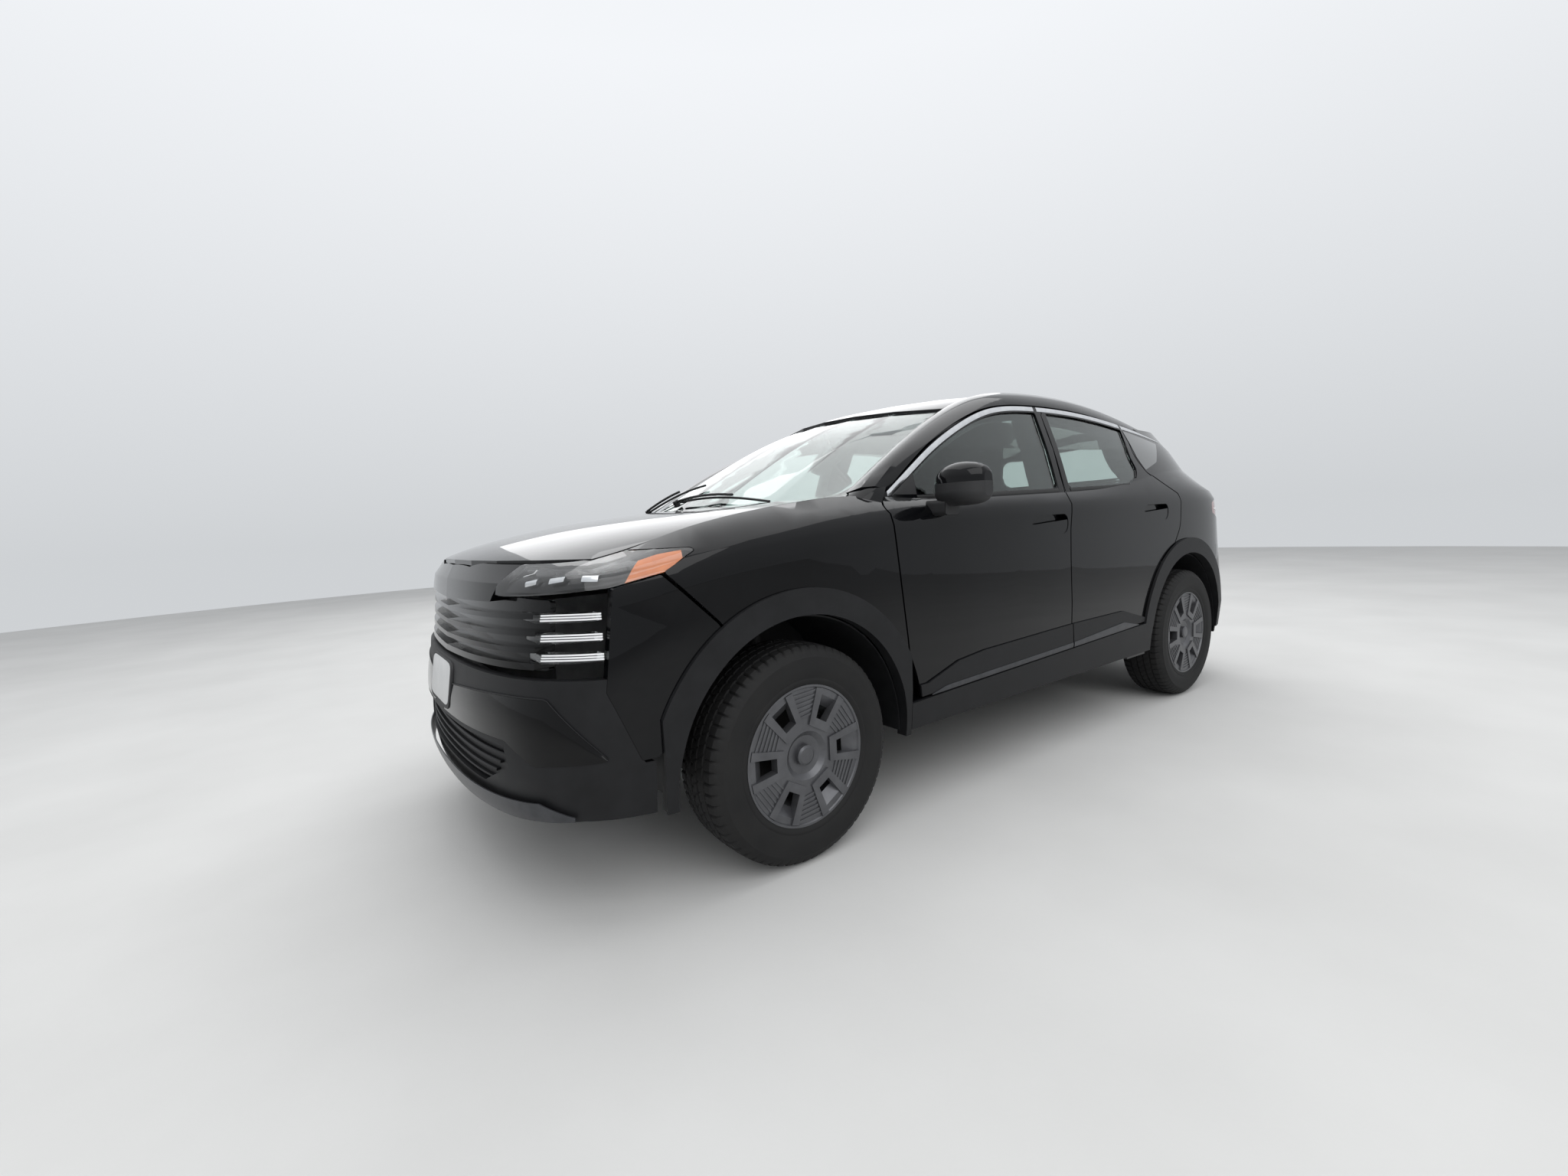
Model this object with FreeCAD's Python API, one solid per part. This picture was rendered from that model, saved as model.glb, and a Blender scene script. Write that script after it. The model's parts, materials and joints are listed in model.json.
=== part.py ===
import FreeCAD
import Part
import math
import os

V = FreeCAD.Vector

# Compact crossover, millimetres. The nose points to -X, +Y is the car's right, the ground is z = 0.
# Pieces of the left side (y < 0) are built and mirrored.

# Overall sizes
FRONT_OVERHANG = 870.0
WHEELBASE = 2657.0
REAR_OVERHANG = 839.0
WIDTH = 1800.0
HEIGHT = 1620.0
FRONT_AXLE_X = -1313.0
REAR_AXLE_X = FRONT_AXLE_X + WHEELBASE

# Wheels and tyres
TYRE_R = 343.0
TYRE_W = 215.0
TRACK = 1570.0
BEAD_R = 203.0
TREAD_T = 17.0
RIM_W = 178.0
WHEEL_Y = TRACK / 2

# Walls, gaps and clearances
SHUT_GAP = 7.0
DOOR_T = 95.0
FRAME_T = 38.0
FLANGE_T = 10.0
FLANGE_INSET = 16.0
PANEL_T = 24.0
GLASS_T = 5.0
GLASS_SET = 9.0
GLASS_GAP = 0.3
CHROME_BAND = 27.0
CLADDING_PROUD = 13.0
ARCH_LIP = 28.0
ARCH_RETURN = 30.0
ARCH_CLEAR = 93.0
ARCH_BAND = 81.0
RUNNING_GAP = 0.5
JOIN_GAP = 0.8

# The body tables below are drawn on a car of these sizes and stretch with the overall sizes
DRAWN = {"front": 870.0, "wheelbase": 2657.0, "rear": 839.0, "width": 1800.0, "height": 1620.0}


def along(x):
    """Length station: the stretch between the axles and each overhang scale on their own."""
    front, rear = -1313.0, 1344.0
    if x < front:
        return FRONT_AXLE_X + (x - front) * FRONT_OVERHANG / DRAWN["front"]
    if x > rear:
        return REAR_AXLE_X + (x - rear) * REAR_OVERHANG / DRAWN["rear"]
    return FRONT_AXLE_X + (x - front) * WHEELBASE / DRAWN["wheelbase"]


def across(y):
    return y * WIDTH / DRAWN["width"]


def up(z):
    return z * HEIGHT / DRAWN["height"]


# Plan of the lower body from the nose centre round the left side to the tail centre.
# heading is the outward normal in plan: 0 forward, 90 to the left, 180 rearward.
# belt is the top edge: hood lip, hood seam, window sill and rear shoulder in turn.
# rail is the top of the side glass, then of the rear glass.
# x, y, heading, crease_z, belt_x, belt_y, belt_z, rail_x, rail_y, rail_z
STATIONS = (
    (-2183, 0, 0, 925, -2085, 0, 985, None, None, None),
    (-2181, 260, 3, 925, -2080, 260, 984, None, None, None),
    (-2150, 520, 14, 925, -2040, 500, 978, None, None, None),
    (-2070, 735, 38, 928, -1960, 660, 978, None, None, None),
    (-1935, 845, 66, 935, -1870, 725, 985, None, None, None),
    (-1790, 881, 82, 955, -1780, 745, 1003, None, None, None),
    (-1600, 892, 88, 1000, -1600, 748, 1066, None, None, None),
    (-1313, 896, 90, 1036, -1313, 748, 1113, None, None, None),
    (-1000, 890, 90, 1056, -1000, 775, 1142, -1000, 722, 1500),
    (-700, 886, 90, 1062, -700, 842, 1108, -700, 712, 1500),
    (-300, 887, 90, 1064, -300, 847, 1112, -300, 704, 1504),
    (150, 889, 90, 1066, 150, 848, 1120, 150, 697, 1512),
    (600, 890, 90, 1068, 600, 848, 1130, 600, 692, 1506),
    (1000, 892, 90, 1074, 1000, 838, 1190, 990, 682, 1490),
    (1344, 896, 90, 1082, 1344, 810, 1232, 1290, 664, 1470),
    (1620, 893, 92, 1086, 1600, 765, 1225, 1500, 640, 1452),
    (1830, 874, 98, 1086, 1745, 705, 1210, 1610, 585, 1442),
    (2000, 812, 117, 1082, 1830, 600, 1200, 1672, 480, 1438),
    (2110, 655, 143, 1078, 1872, 450, 1195, 1705, 350, 1438),
    (2165, 420, 166, 1076, 1890, 290, 1192, 1722, 220, 1438),
    (2183, 200, 178, 1075, 1896, 140, 1190, 1730, 110, 1438),
    (2183, 0, 180, 1075, 1896, 0, 1190, 1730, 0, 1438),
)
DOOR_START = 8

# How far each level of the lower body stands out from its plan line, by the way it faces.
# z (None: at the crease less drop), drop, side, front, rear
LEVELS = (
    (215, 0, -26, -45, -60),
    (330, 0, -14, -3, -14),
    (450, 0, -4, 0, 0),
    (600, 0, 0, -30, -6),
    (800, 0, -8, -54, -48),
    (None, 95, -11, -58, -78),
    (None, 0, -7, -68, -104),
)

# Roof side rail: its lower edge runs over the side windows, its upper edge beside windscreen and roof
# low_x, low_y, low_z, high_x, high_y, high_z
RAIL = (
    (-850, 806, 1146, -985, 742, 1141),
    (-700, 790, 1254, -830, 700, 1224),
    (-557, 757, 1338, -640, 652, 1326),
    (-349, 724, 1424, -430, 602, 1424),
    (-200, 707, 1474, -262, 572, 1497),
    (-50, 700, 1502, -100, 572, 1556),
    (150, 697, 1514, 120, 572, 1582),
    (500, 692, 1514, 450, 570, 1588),
    (850, 684, 1487, 850, 566, 1566),
    (1150, 672, 1442, 1180, 560, 1516),
    (1420, 655, 1392, 1500, 548, 1456),
)
WINDSCREEN_ROWS = 5
SCREEN_BED = 1.5

# Centre line of windscreen, roof and spoiler: x, z
SCREEN_CENTRE = ((-1262, 1116), (-1060, 1238), (-842, 1358), (-622, 1458), (-430, 1516))
ROOF_CENTRE = ((-430, 1518), (-230, 1574), (60, 1612), (400, 1621), (850, 1600), (1200, 1552), (1520, 1492))
ROOF_SEAM_X = 1478
SPOILER_TIP_X = 1790
SPOILER_TIP_Z = 1440

# Hood: seam station, centre line x and z, and how far the form swells between them
HOOD = ((-1872, -2080, 990, 0.93), (-1800, -2030, 1016, 0.86), (-1650, -1860, 1058, 0.74), (-1450, -1640, 1094, 0.66),
        (-1250, -1430, 1112, 0.62), (-1096, -1292, 1124, 0.60))


def surface(rows):
    """Cubic B-spline surface on rows of poles, clamped at its borders."""
    def knots(count):
        spans = count - 3
        return list(range(spans + 1)), [4] + [1] * (spans - 1) + [4]
    u_knots, u_mults = knots(len(rows))
    v_knots, v_mults = knots(len(rows[0]))
    net = Part.BSplineSurface()
    net.buildFromPolesMultsKnots(rows, u_mults, v_mults, u_knots, v_knots, False, False, 3, 3)
    return net


def ruled_slab(outer, inner, levels):
    """Solid between two surfaces, each ruled in strips between its level curves."""
    u0, u1, _, _ = outer.bounds()
    curves = [[net.vIso(level) for level in levels] for net in (outer, inner)]
    edges = [[curve.toShape() for curve in side] for side in curves]
    faces = []
    for side in edges:
        faces += [Part.makeRuledSurface(low, high) for low, high in zip(side, side[1:])]
    faces += [Part.makeRuledSurface(edges[0][k], edges[1][k]) for k in (0, -1)]
    for u in (u0, u1):
        rungs = [[side[k].value(u) for k in range(len(levels))] for side in curves]
        for k in range(len(levels) - 1):
            out_rung = Part.LineSegment(rungs[0][k], rungs[0][k + 1]).toShape()
            in_rung = Part.LineSegment(rungs[1][k], rungs[1][k + 1]).toShape()
            faces.append(Part.makeRuledSurface(out_rung, in_rung))
    shell = Part.makeCompound(faces)
    shell.sewShape()
    solid = Part.Solid(Part.Shell(shell.Faces))
    if solid.Volume < 0:
        solid.reverse()
    return solid


def share(heading):
    """Side, front and rear share of a plan heading."""
    facing = math.cos(math.radians(heading))
    return 1 - abs(facing), max(facing, 0), max(-facing, 0)


def outward(heading):
    return V(-math.cos(math.radians(heading)), -math.sin(math.radians(heading)), 0)


def lower_rows(depth):
    rows = []
    for x, y, heading, crease_z, belt_x, belt_y, belt_z, _, _, _ in STATIONS:
        side, front, rear = share(heading)
        normal = outward(heading)
        base = V(along(x), -across(y), 0)
        row = []
        for z, drop, side_out, front_out, rear_out in LEVELS:
            level = crease_z - drop if z is None else z
            out = side * side_out + front * front_out + rear * rear_out
            row.append(base + normal * (out - depth) + V(0, 0, up(level)))
        belt = V(along(belt_x), -across(belt_y), up(belt_z)) - normal * depth
        crease = row[-1]
        row.append(crease + (belt - crease) * 0.45 + V(0, 0, up(7)) + normal * 5)
        row.append(belt)
        if y == 0:
            row = [V(point.x, 0, point.z) for point in row]
        rows.append(row)
    return rows


def upper_rows(depth, sill_step=6.0, below=45.0, above=60.0):
    """Window planes: from under the window sill to above the roof rail's lower edge."""
    rows = []
    for x, y, heading, _, belt_x, belt_y, belt_z, rail_x, rail_y, rail_z in STATIONS[DOOR_START:]:
        normal = outward(heading)
        belt = V(along(belt_x), -across(belt_y), up(belt_z)) - normal * (sill_step + depth)
        rail = V(along(rail_x), -across(rail_y), up(rail_z)) - normal * depth
        slope = (rail - belt) * (1 / (rail.z - belt.z))
        row = [belt - slope * below, belt]
        row += [belt + (rail - belt) * part + normal * 9 for part in (0.33, 0.67)]
        row += [rail, rail + slope * above]
        if y == 0:
            row = [V(point.x, 0, point.z) for point in row]
        rows.append(row)
    return rows


def cut_out(net, u0, u1):
    """The stretch of a surface between two station parameters."""
    piece = net.copy()
    _, _, v0, v1 = net.bounds()
    piece.segment(u0, u1, v0, v1)
    return piece


# Level curves between which the CAD skins are ruled
LOWER_LEVELS = (0, 1.1, 2.2, 3.2, 4.1, 4.7, 5.2, 6)
UPPER_LEVELS = (0, 0.7, 1.5, 3)
CROWN_LEVELS = (0, 0.33, 0.67, 1)
HOOD_LEVELS = (0, 0.2, 0.45, 0.7, 1)
LOWER_NETS = {}
UPPER_NETS = {}


def lower_net(depth):
    if depth not in LOWER_NETS:
        LOWER_NETS[depth] = surface(lower_rows(depth))
    return LOWER_NETS[depth]


def upper_net(depth):
    if depth not in UPPER_NETS:
        UPPER_NETS[depth] = surface(upper_rows(depth))
    return UPPER_NETS[depth]


def lower_skin(depth, back, u0, u1):
    return ruled_slab(cut_out(lower_net(depth), u0, u1), cut_out(lower_net(back), u0, u1), LOWER_LEVELS)


def upper_skin(depth, back, u0, u1):
    return ruled_slab(cut_out(upper_net(depth), u0, u1), cut_out(upper_net(back), u0, u1), UPPER_LEVELS)


def side_point(x, z):
    """Point of a side outline, drawn in x and z."""
    return V(along(x), 0, up(z))


def rounded(points, radius=20.0):
    """Closed wire through corners, each rounded by an arc. A third value in a corner is its own radius."""
    corners = [point[0] for point in points]
    radii = [point[1] if point[1] is not None else radius for point in points]
    count = len(corners)
    starts, ends, middles = [], [], []
    for i, corner in enumerate(corners):
        to_last = corners[i - 1] - corner
        to_next = corners[(i + 1) % count] - corner
        turn = math.pi - to_last.getAngle(to_next)
        reach = min(radii[i] * math.tan(turn / 2), 0.45 * to_last.Length, 0.45 * to_next.Length)
        if reach < 0.5 or turn < 0.01:
            starts.append(corner)
            ends.append(corner)
            middles.append(None)
            continue
        start = corner + to_last.normalize() * reach
        end = corner + to_next.normalize() * reach
        r = reach / math.tan(turn / 2)
        inward = (start + end) * 0.5 - corner
        distance = r / math.cos(turn / 2) - r
        starts.append(start)
        ends.append(end)
        middles.append(corner + inward.normalize() * distance)
    edges = []
    for i in range(count):
        if middles[i] is not None:
            edges.append(Part.Arc(starts[i], middles[i], ends[i]).toShape())
        following = starts[(i + 1) % count]
        if (following - ends[i]).Length > 0.01:
            edges.append(Part.LineSegment(ends[i], following).toShape())
    return Part.Wire(edges)


def side_wire(points, radius=20.0):
    return rounded([(side_point(p[0], p[1]), p[2] if len(p) > 2 else None) for p in points], radius)


def grown(wire, distance):
    """The wire offset in its own plane: outward where distance is positive."""
    if abs(distance) < 1e-6:
        return wire
    face = Part.Face(wire)
    return face.makeOffset2D(distance, 2).OuterWire


def prism(wire, low_y, high_y):
    """Solid of a side outline between two depths."""
    moved = wire.copy()
    moved.translate(V(0, low_y, 0))
    return Part.Face(moved).extrude(V(0, high_y - low_y, 0))


def left_prism(wire, inner_y=-250.0):
    return prism(wire, -WIDTH, inner_y)


def box(x0, x1, y0, y1, z0, z1):
    return Part.makeBox(x1 - x0, y1 - y0, z1 - z0, V(x0, y0, z0))


def disc(r, x, z, y0, y1):
    """Cylinder along Y."""
    return Part.makeCylinder(r, y1 - y0, V(x, y0, z), V(0, 1, 0))


def moved(shape, step):
    copy = shape.copy()
    copy.translate(step)
    return copy


def mirrored(shape):
    return shape.mirror(V(0, 0, 0), V(0, 1, 0))


def both(shape):
    return Part.makeCompound(shape.Solids + mirrored(shape).Solids)


def joined(*shapes):
    first, rest = shapes[0], list(shapes[1:])
    return first.fuse(rest) if rest else first


def whole(half):
    """A half that ends at the centre plane, with its mirror image."""
    return half.fuse(mirrored(half))


# Window line: lower edge of the roof rail, seen from the side
WINDOW_LINE = [side_point(x, z) for x, _, z, _, _, _ in RAIL]


def line_edge(points, drop):
    """Smooth edge along the window line, moved down by drop."""
    moved = []
    for i, point in enumerate(points):
        ahead = points[min(i + 1, len(points) - 1)] - points[max(i - 1, 0)]
        ahead.normalize()
        moved.append(point + V(ahead.z, 0, -ahead.x) * drop)
    curve = Part.BSplineCurve()
    count = len(moved)
    curve.buildFromPolesMultsKnots(
        moved, [4] + [1] * (count - 4) + [4], list(range(count - 2)), False, 3)
    return curve


# Side outlines: x, z and corner radius
FRONT_SHUT = ((-847, 410, 5), (-849, 573, 300), (-859, 665, 600), (-876, 843, 600), (-896, 1010, 300),
              (-905, 1092, 30), (-866, 1144, 8))
B_SHUT = ((262, 1600, 5), (205, 1128, 12), (200, 1056, 20), (189, 961, 60), (180, 549, 300), (187, 410, 5))
REAR_SHUT = ((1060, 1600, 5), (952, 1300, 120), (1014, 1212, 60), (1262, 1085, 60), (1251, 926, 120),
             (1186, 842, 120), (880, 410, 5))
SILL_LINE = ((-847, 414), (880, 466))
HINGE_FRONT_X, HINGE_REAR_X, HINGE_Y = -898.0, 166.0, -896.0
FRONT_HANDLE = ((-96, 947), (169, 1029))
REAR_HANDLE = ((860, 968), (1112, 1048))
HANDLE_OUT, HANDLE_T, HANDLE_DEPTH = 2.0, 9.0, 30.0
DOOR_TRIM = ((-1000, 300), (-1000, 463), (-763, 466), (-590, 518), (-436, 533), (180, 549), (628, 550), (856, 489),
             (1000, 470), (1000, 300))
DOOR_TRIM_T = 7.0
FRONT_WINDOW = ((-722, 1600, 5), (-712, 1130, 25), (160, 1136, 25), (200, 1600, 5))
REAR_WINDOW = ((290, 1600, 25), (253, 1140, 25), (780, 1150, 60), (888, 1186, 40), (922, 1226, 30), (912, 1300, 120),
               (1020, 1600, 20))
ARCH_FRONT_EDGE, ARCH_DOOR_EDGE = -1798, -853
SILL_BASE_Z = 316.0
QUARTER_REAR_Y = 700.0
QUARTER = ((700, 1700), (2300, 1700), (2300, 804), (1760, 804), (1690, 556), (1600, 300), (700, 300))
REAR_BUMPER = ((1762, 800), (2400, 800), (2400, 560), (1692, 560))
REAR_LOWER_BUMPER = ((1700, 556), (2400, 556), (2400, 276), (1700, 276))
ROCKER = ((-850, SILL_BASE_Z + 14), (-850, 500), (890, 500), (890, SILL_BASE_Z + 14))
JAMB_T = 34.0
RAIL_BULGE = 0.24
RAIL_T = 56.0
ROOF_T = 14.0
SEAM_GAP = 4.0
HOOD_T = 26.0
BUMPER_T = 26.0
LAMP_T = 60.0
TAIL_T = 40.0
SPOILER_T = 32.0
LINER_T = 5.0
LINER_INNER_Y = WHEEL_Y - 333.0
LINER_REAR_Y = WHEEL_Y - 145.0
LINER_BASE_Z = 318.0
FENDER = ((-1815, 1006), (-1622, 1004), (-1738, 944), (-1592, 797), (-1470, 640), (-1300, 420), (-870, SILL_BASE_Z),
          (-853, SILL_BASE_Z), (-853, 520), (-700, 520), (-700, 1400), (-1815, 1400))
CORNER_PANEL = ((-1869, 911), (-1748, 938), (-1600, 793), (-1478, 632), (-1799, 464), (-1837, 463), (-1906, 649))
LOWER_BUMPER = ((-2400, 684), (-1898, 684), (-1898, 640), (-1830, 456), (-1802, 456), (-1802, 310), (-1974, 314),
                (-2126, 300), (-2400, 268))
INTAKE = ((-80, 502), (580, 502), (605, 446), (436, 372), (-80, 372))
HEADLAMP = ((-2073, 897), (-1872, 915), (-1738, 945), (-1622, 1006), (-1800, 1008), (-1830, 1030), (-2060, 1030))
LIGHT_BARS = ((834, 854), (782, 802), (731, 751))
GRILLE_HALF = 675
GRILLE_BACK = (46, 58)
GRILLE = ((-50, 684), (675, 700), (675, 884), (470, 892), (-50, 880))
NOSE_PANEL = ((-50, 868), (470, 880), (568, 1010), (-50, 1010))
LOUVRES = ((694, 712), (738, 752), (782, 796), (826, 840))
TAILGATE_START_X = ROOF_SEAM_X
TAILGATE_OUTLINE = ((-60, 806, 5), (672, 806, 60), (690, 1090, 60), (655, 1200, 60), (552, 1470, 5), (-60, 1600, 5))
TAIL_WINDOW = ((-60, 1236, 5), (575, 1236, 50), (500, 1394, 50), (-60, 1396, 5))
TAILGATE_FRONT_X = 1487
SPOILER = ((TAILGATE_FRONT_X, 548, 1458, TAILGATE_FRONT_X, 1500), (1580, 546, 1447, 1600, 1480),
           (1660, 543, 1437, 1700, 1459), (1724, 535, 1427, 1790, 1438))
COWL_T = 6.0
HUB_R = 66.0
WHEEL_FACE_OUT = 40.0
BALL_JOINT = (WHEEL_Y - 47.0, TYRE_R - 117.0)
STRUT_TOP = (WHEEL_Y - 213.0, up(905.0))
SPRING_Z = up(706.0)
STRUT_R = 20.0
BRAKE_R = 124.0
ARM_T = 26.0
# Front cradle, from the axle: front bar's ends, then rear bar's ends
CRADLE_X = (-190, -110, 150, 230)
CRADLE_Z = (246, 292)
CRADLE_HALF = 300.0
AXLE_ARM_Y = WHEEL_Y - 185.0
BEAM = (1190, 302)
SPRING_SEAT_Z = (345, 470)
LEG_Y = (WHEEL_Y - 385.0, WHEEL_Y - 337.0)
REAR_LEG_Y = (AXLE_ARM_Y - 150, AXLE_ARM_Y - 50)
LEG_Z = (440, 560)
FLOOR_Z = 332
FLOOR_T = 14.0
FLOOR_HALF = 740
SEAT_PAN_Z = 400
FLOOR_LINE = ((-1010, 1060), (-1010, 470), (-900, FLOOR_Z), (560, FLOOR_Z), (620, SEAT_PAN_Z), (1100, SEAT_PAN_Z),
              (1190, 606), (1985, 606), (1985, 470))
TUNNEL_HALF, TUNNEL_H = 110, 140
TANK = (640, 1000, 480, 236, SEAT_PAN_Z - GLASS_GAP)
MUFFLER = (1600, 1900, 290, 560, 320, 469.7)
EXHAUST_R = 26.0
EXHAUST_BEND = 70.0
EXHAUST = ((-850, 0, 270), (230, 0, 270), (380, 0, 190), (600, 560, 190), (1290, 560, 190), (1470, 425, 400),
           (1640, 425, 400))
COWL_SIDE = 14.0
SPOKES = 6
COVER_OUT = 92.5
FRAME_OUT = 6.0
# Wheel cover, radius and how far it stands out of the cover's face: the dished middle with its cap
COVER_DISH = ((76, 0), (60, -13), (31, -17), (31, -3), (24, 1), (0, 2))
# Windows of the wheel cover: half width and radius of the foot, then half width, outer radius and depth of its ends
WINDOW_FOOT = (22, 116)
WINDOW_DEPTHS = ((35, 206, 12), (29, 158, -24), (29, 158, -40))
WINDOW_FRAME = ((-38, 88), (38, 88), (64, 214), (-64, 214))
WINDOW_MOUTH = ((-22, 116), (22, 116), (40, 240), (-40, 240))
RIBS, RIB_START, RIB_PITCH, RIB_SLANT, RIB_W, RIB_OUT = 6, 122, 14.0, 5.0, 6.0, 3.0
WEDGE_INSET = 40.0
COLUMN_TILT = 24.0
STEERING_X, STEERING_Z, STEERING_R = -330, 955, 180.0
STEERING_HUB = 69.0
# Mirror housing from the door outward: y, then the section's x and z spans and its corner radius
MIRROR = ((872, -682, -612, 1102, 1190, 30), (905, -704, -598, 1086, 1216, 44), (950, -710, -590, 1082, 1228, 50),
          (1010, -700, -592, 1084, 1226, 50), (1048, -676, -600, 1094, 1210, 38), (1060, -654, -612, 1108, 1192, 20))
MIRROR_FOOT = (-700, -624, 790, 930, 1052, 1104)
LAMP_REAR = ((1900, 1085), (1700, 1040), (1700, 985), (1900, 930), (2300, 930), (2300, 1085))


def sill_z(x):
    (x0, z0), (x1, z1) = SILL_LINE
    return z0 + (x - x0) * (z1 - z0) / (x1 - x0)


def under_line(drop):
    """Big side prism below the window line, moved down by drop."""
    curve = line_edge(WINDOW_LINE, drop)
    first, last = curve.value(curve.FirstParameter), curve.value(curve.LastParameter)
    low = up(-50)
    corners = [last, V(last.x + 900, 0, last.z - 380), V(last.x + 900, 0, low), V(first.x - 900, 0, low),
               V(first.x - 900, 0, first.z), first]
    edges = [curve.toShape()]
    for start, end in zip(corners, corners[1:]):
        edges.append(Part.LineSegment(start, end).toShape())
    return left_prism(Part.Wire(edges))


def door_outlines():
    """Outer outlines of both doors; their tops are cut by the window line."""
    gap = SHUT_GAP / 2
    front_top = [(-866, 1600, 5)]
    front_door = side_wire([(x, max(z, sill_z(x)) + (gap if z < 500 else 0), r) for x, z, r in
                            list(FRONT_SHUT) + front_top + list(B_SHUT)])
    rear_door = side_wire([(x, max(z, sill_z(x)) + (gap if z < 500 else 0), r) for x, z, r in
                           list(B_SHUT[::-1]) + list(REAR_SHUT)])
    return grown(front_door, -gap), grown(rear_door, -gap)


def door_handle(leaf, span, u0, u1):
    """The door with an oval finger recess and the pull that bridges its lower part."""
    (x0, z0), (x1, z1) = span
    oval = left_prism(side_wire([(x, z, 0.49 * (z1 - z0)) for x, z in ((x0, z0), (x1, z0), (x1, z1), (x0, z1))]))
    middle = z0 + 0.62 * (z1 - z0)
    flap = left_prism(side_wire(((x0 - 20, z0 - 20, 2), (x1 + 20, z0 - 20, 2), (x1 + 20, middle + 8, 2), (x0 - 20, middle - 8, 2))))
    foot = left_prism(side_wire(((x0 - 20, z0, 2), (x0 + 46, z0, 2), (x0 + 46, middle, 2), (x0 - 20, middle, 2))))
    foot = foot.fuse(moved(foot, V(along(x1) - along(x0) - 26, 0, 0)))
    pull = lower_skin(HANDLE_OUT, HANDLE_OUT + HANDLE_T, u0, u1).common(oval).common(flap)
    feet = lower_skin(HANDLE_OUT + 2, HANDLE_DEPTH + 2, u0, u1).common(oval).common(flap).common(foot)
    return leaf.cut(lower_skin(-20, HANDLE_DEPTH, u0, u1).common(oval)).fuse([pull, feet])


def door_cladding(outline, arch_x, u0, u1):
    """Moulding along the lower edge of a door."""
    strip = lower_skin(-DOOR_TRIM_T, -GLASS_GAP, u0, u1).common(left_prism(side_wire(DOOR_TRIM, 5)))
    strip = strip.common(left_prism(outline)).cut(arch_disc(arch_x, ARCH_BAND + SHUT_GAP))
    return max(strip.Solids, key=lambda solid: solid.Volume)


def door_leaf(outline, window, u0, u1, v0, v1, arch_x, handle):
    """Skin flange and thick inner door with the window cut through its frame."""
    arch, inner_arch = [arch_disc(arch_x, ARCH_BAND + SHUT_GAP + inset) for inset in (0, FLANGE_INSET)]
    shapes = []
    for skin, thick, lo, hi in ((lower_skin, DOOR_T, u0, u1), (upper_skin, FRAME_T, v0, v1)):
        flange = skin(0, FLANGE_T, lo, hi).common(left_prism(outline)).common(under_line(SHUT_GAP / 2))
        inner = skin(3, thick, lo, hi).common(left_prism(grown(outline, -FLANGE_INSET)))
        inner = inner.common(under_line(SHUT_GAP / 2 + FLANGE_INSET)).cut(inner_arch)
        shapes += [flange, inner]
    leaf = joined(*shapes).cut(arch)
    hole = left_prism(window).common(under_line(SHUT_GAP / 2 + CHROME_BAND))
    return door_handle(leaf.cut(hole), handle, u0, u1)


def door_glass(window, v0, v1):
    pane = upper_skin(GLASS_SET, GLASS_SET + GLASS_T, v0, v1)
    pane = pane.common(left_prism(grown(window, -GLASS_GAP)))
    return pane.common(under_line(SHUT_GAP / 2 + CHROME_BAND + GLASS_GAP))


# Side structure
DOOR_ROOM = 8.0
INNER_RING_LOW = (DOOR_T + 9, DOOR_T + 65)
INNER_RING_HIGH = (FRAME_T + 8, DOOR_T + 29)
BELT_ROOM = 14.0
BELT_INSET = 10.0
HINGE_GAP = 0.3
HINGE_H = 56.0
HINGE_DEPTH = (36, INNER_RING_LOW[0] + 8)
HINGE_Z = (486, 900)
HINGE_REACH = (10.0, 2.0)
HOOD_POST = (-1266, -1192, 705, 735, 1000, 1040)
ROOF_BRACKET = (390, 450, 10, 34)
RING_WIDTH = 62.0
JACK_X = (-620, 660)
JACK_Y, JACK_Z = 790, 306
JACK_PAD = (72.0, 52.0)
SILL_DEPTH = DOOR_T + 70


def arch_disc(x, extra, y0=-WIDTH, y1=0):
    return disc(TYRE_R + ARCH_CLEAR + extra, x, TYRE_R, y0, y1)


def door_hinges(door, reach, span):
    """Hinge blocks that stand out of a pillar to the front face of a door."""
    room = left_prism(grown(door, HINGE_GAP - FLANGE_INSET))
    blocks = lower_skin(HINGE_DEPTH[0], HINGE_DEPTH[1], 5, 12).common(left_prism(grown(door, reach))).cut(room)
    x0, x1 = span
    return [blocks.common(box(along(x0), along(x1), -WIDTH, 0, up(z), up(z) + HINGE_H)) for z in HINGE_Z]


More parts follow.
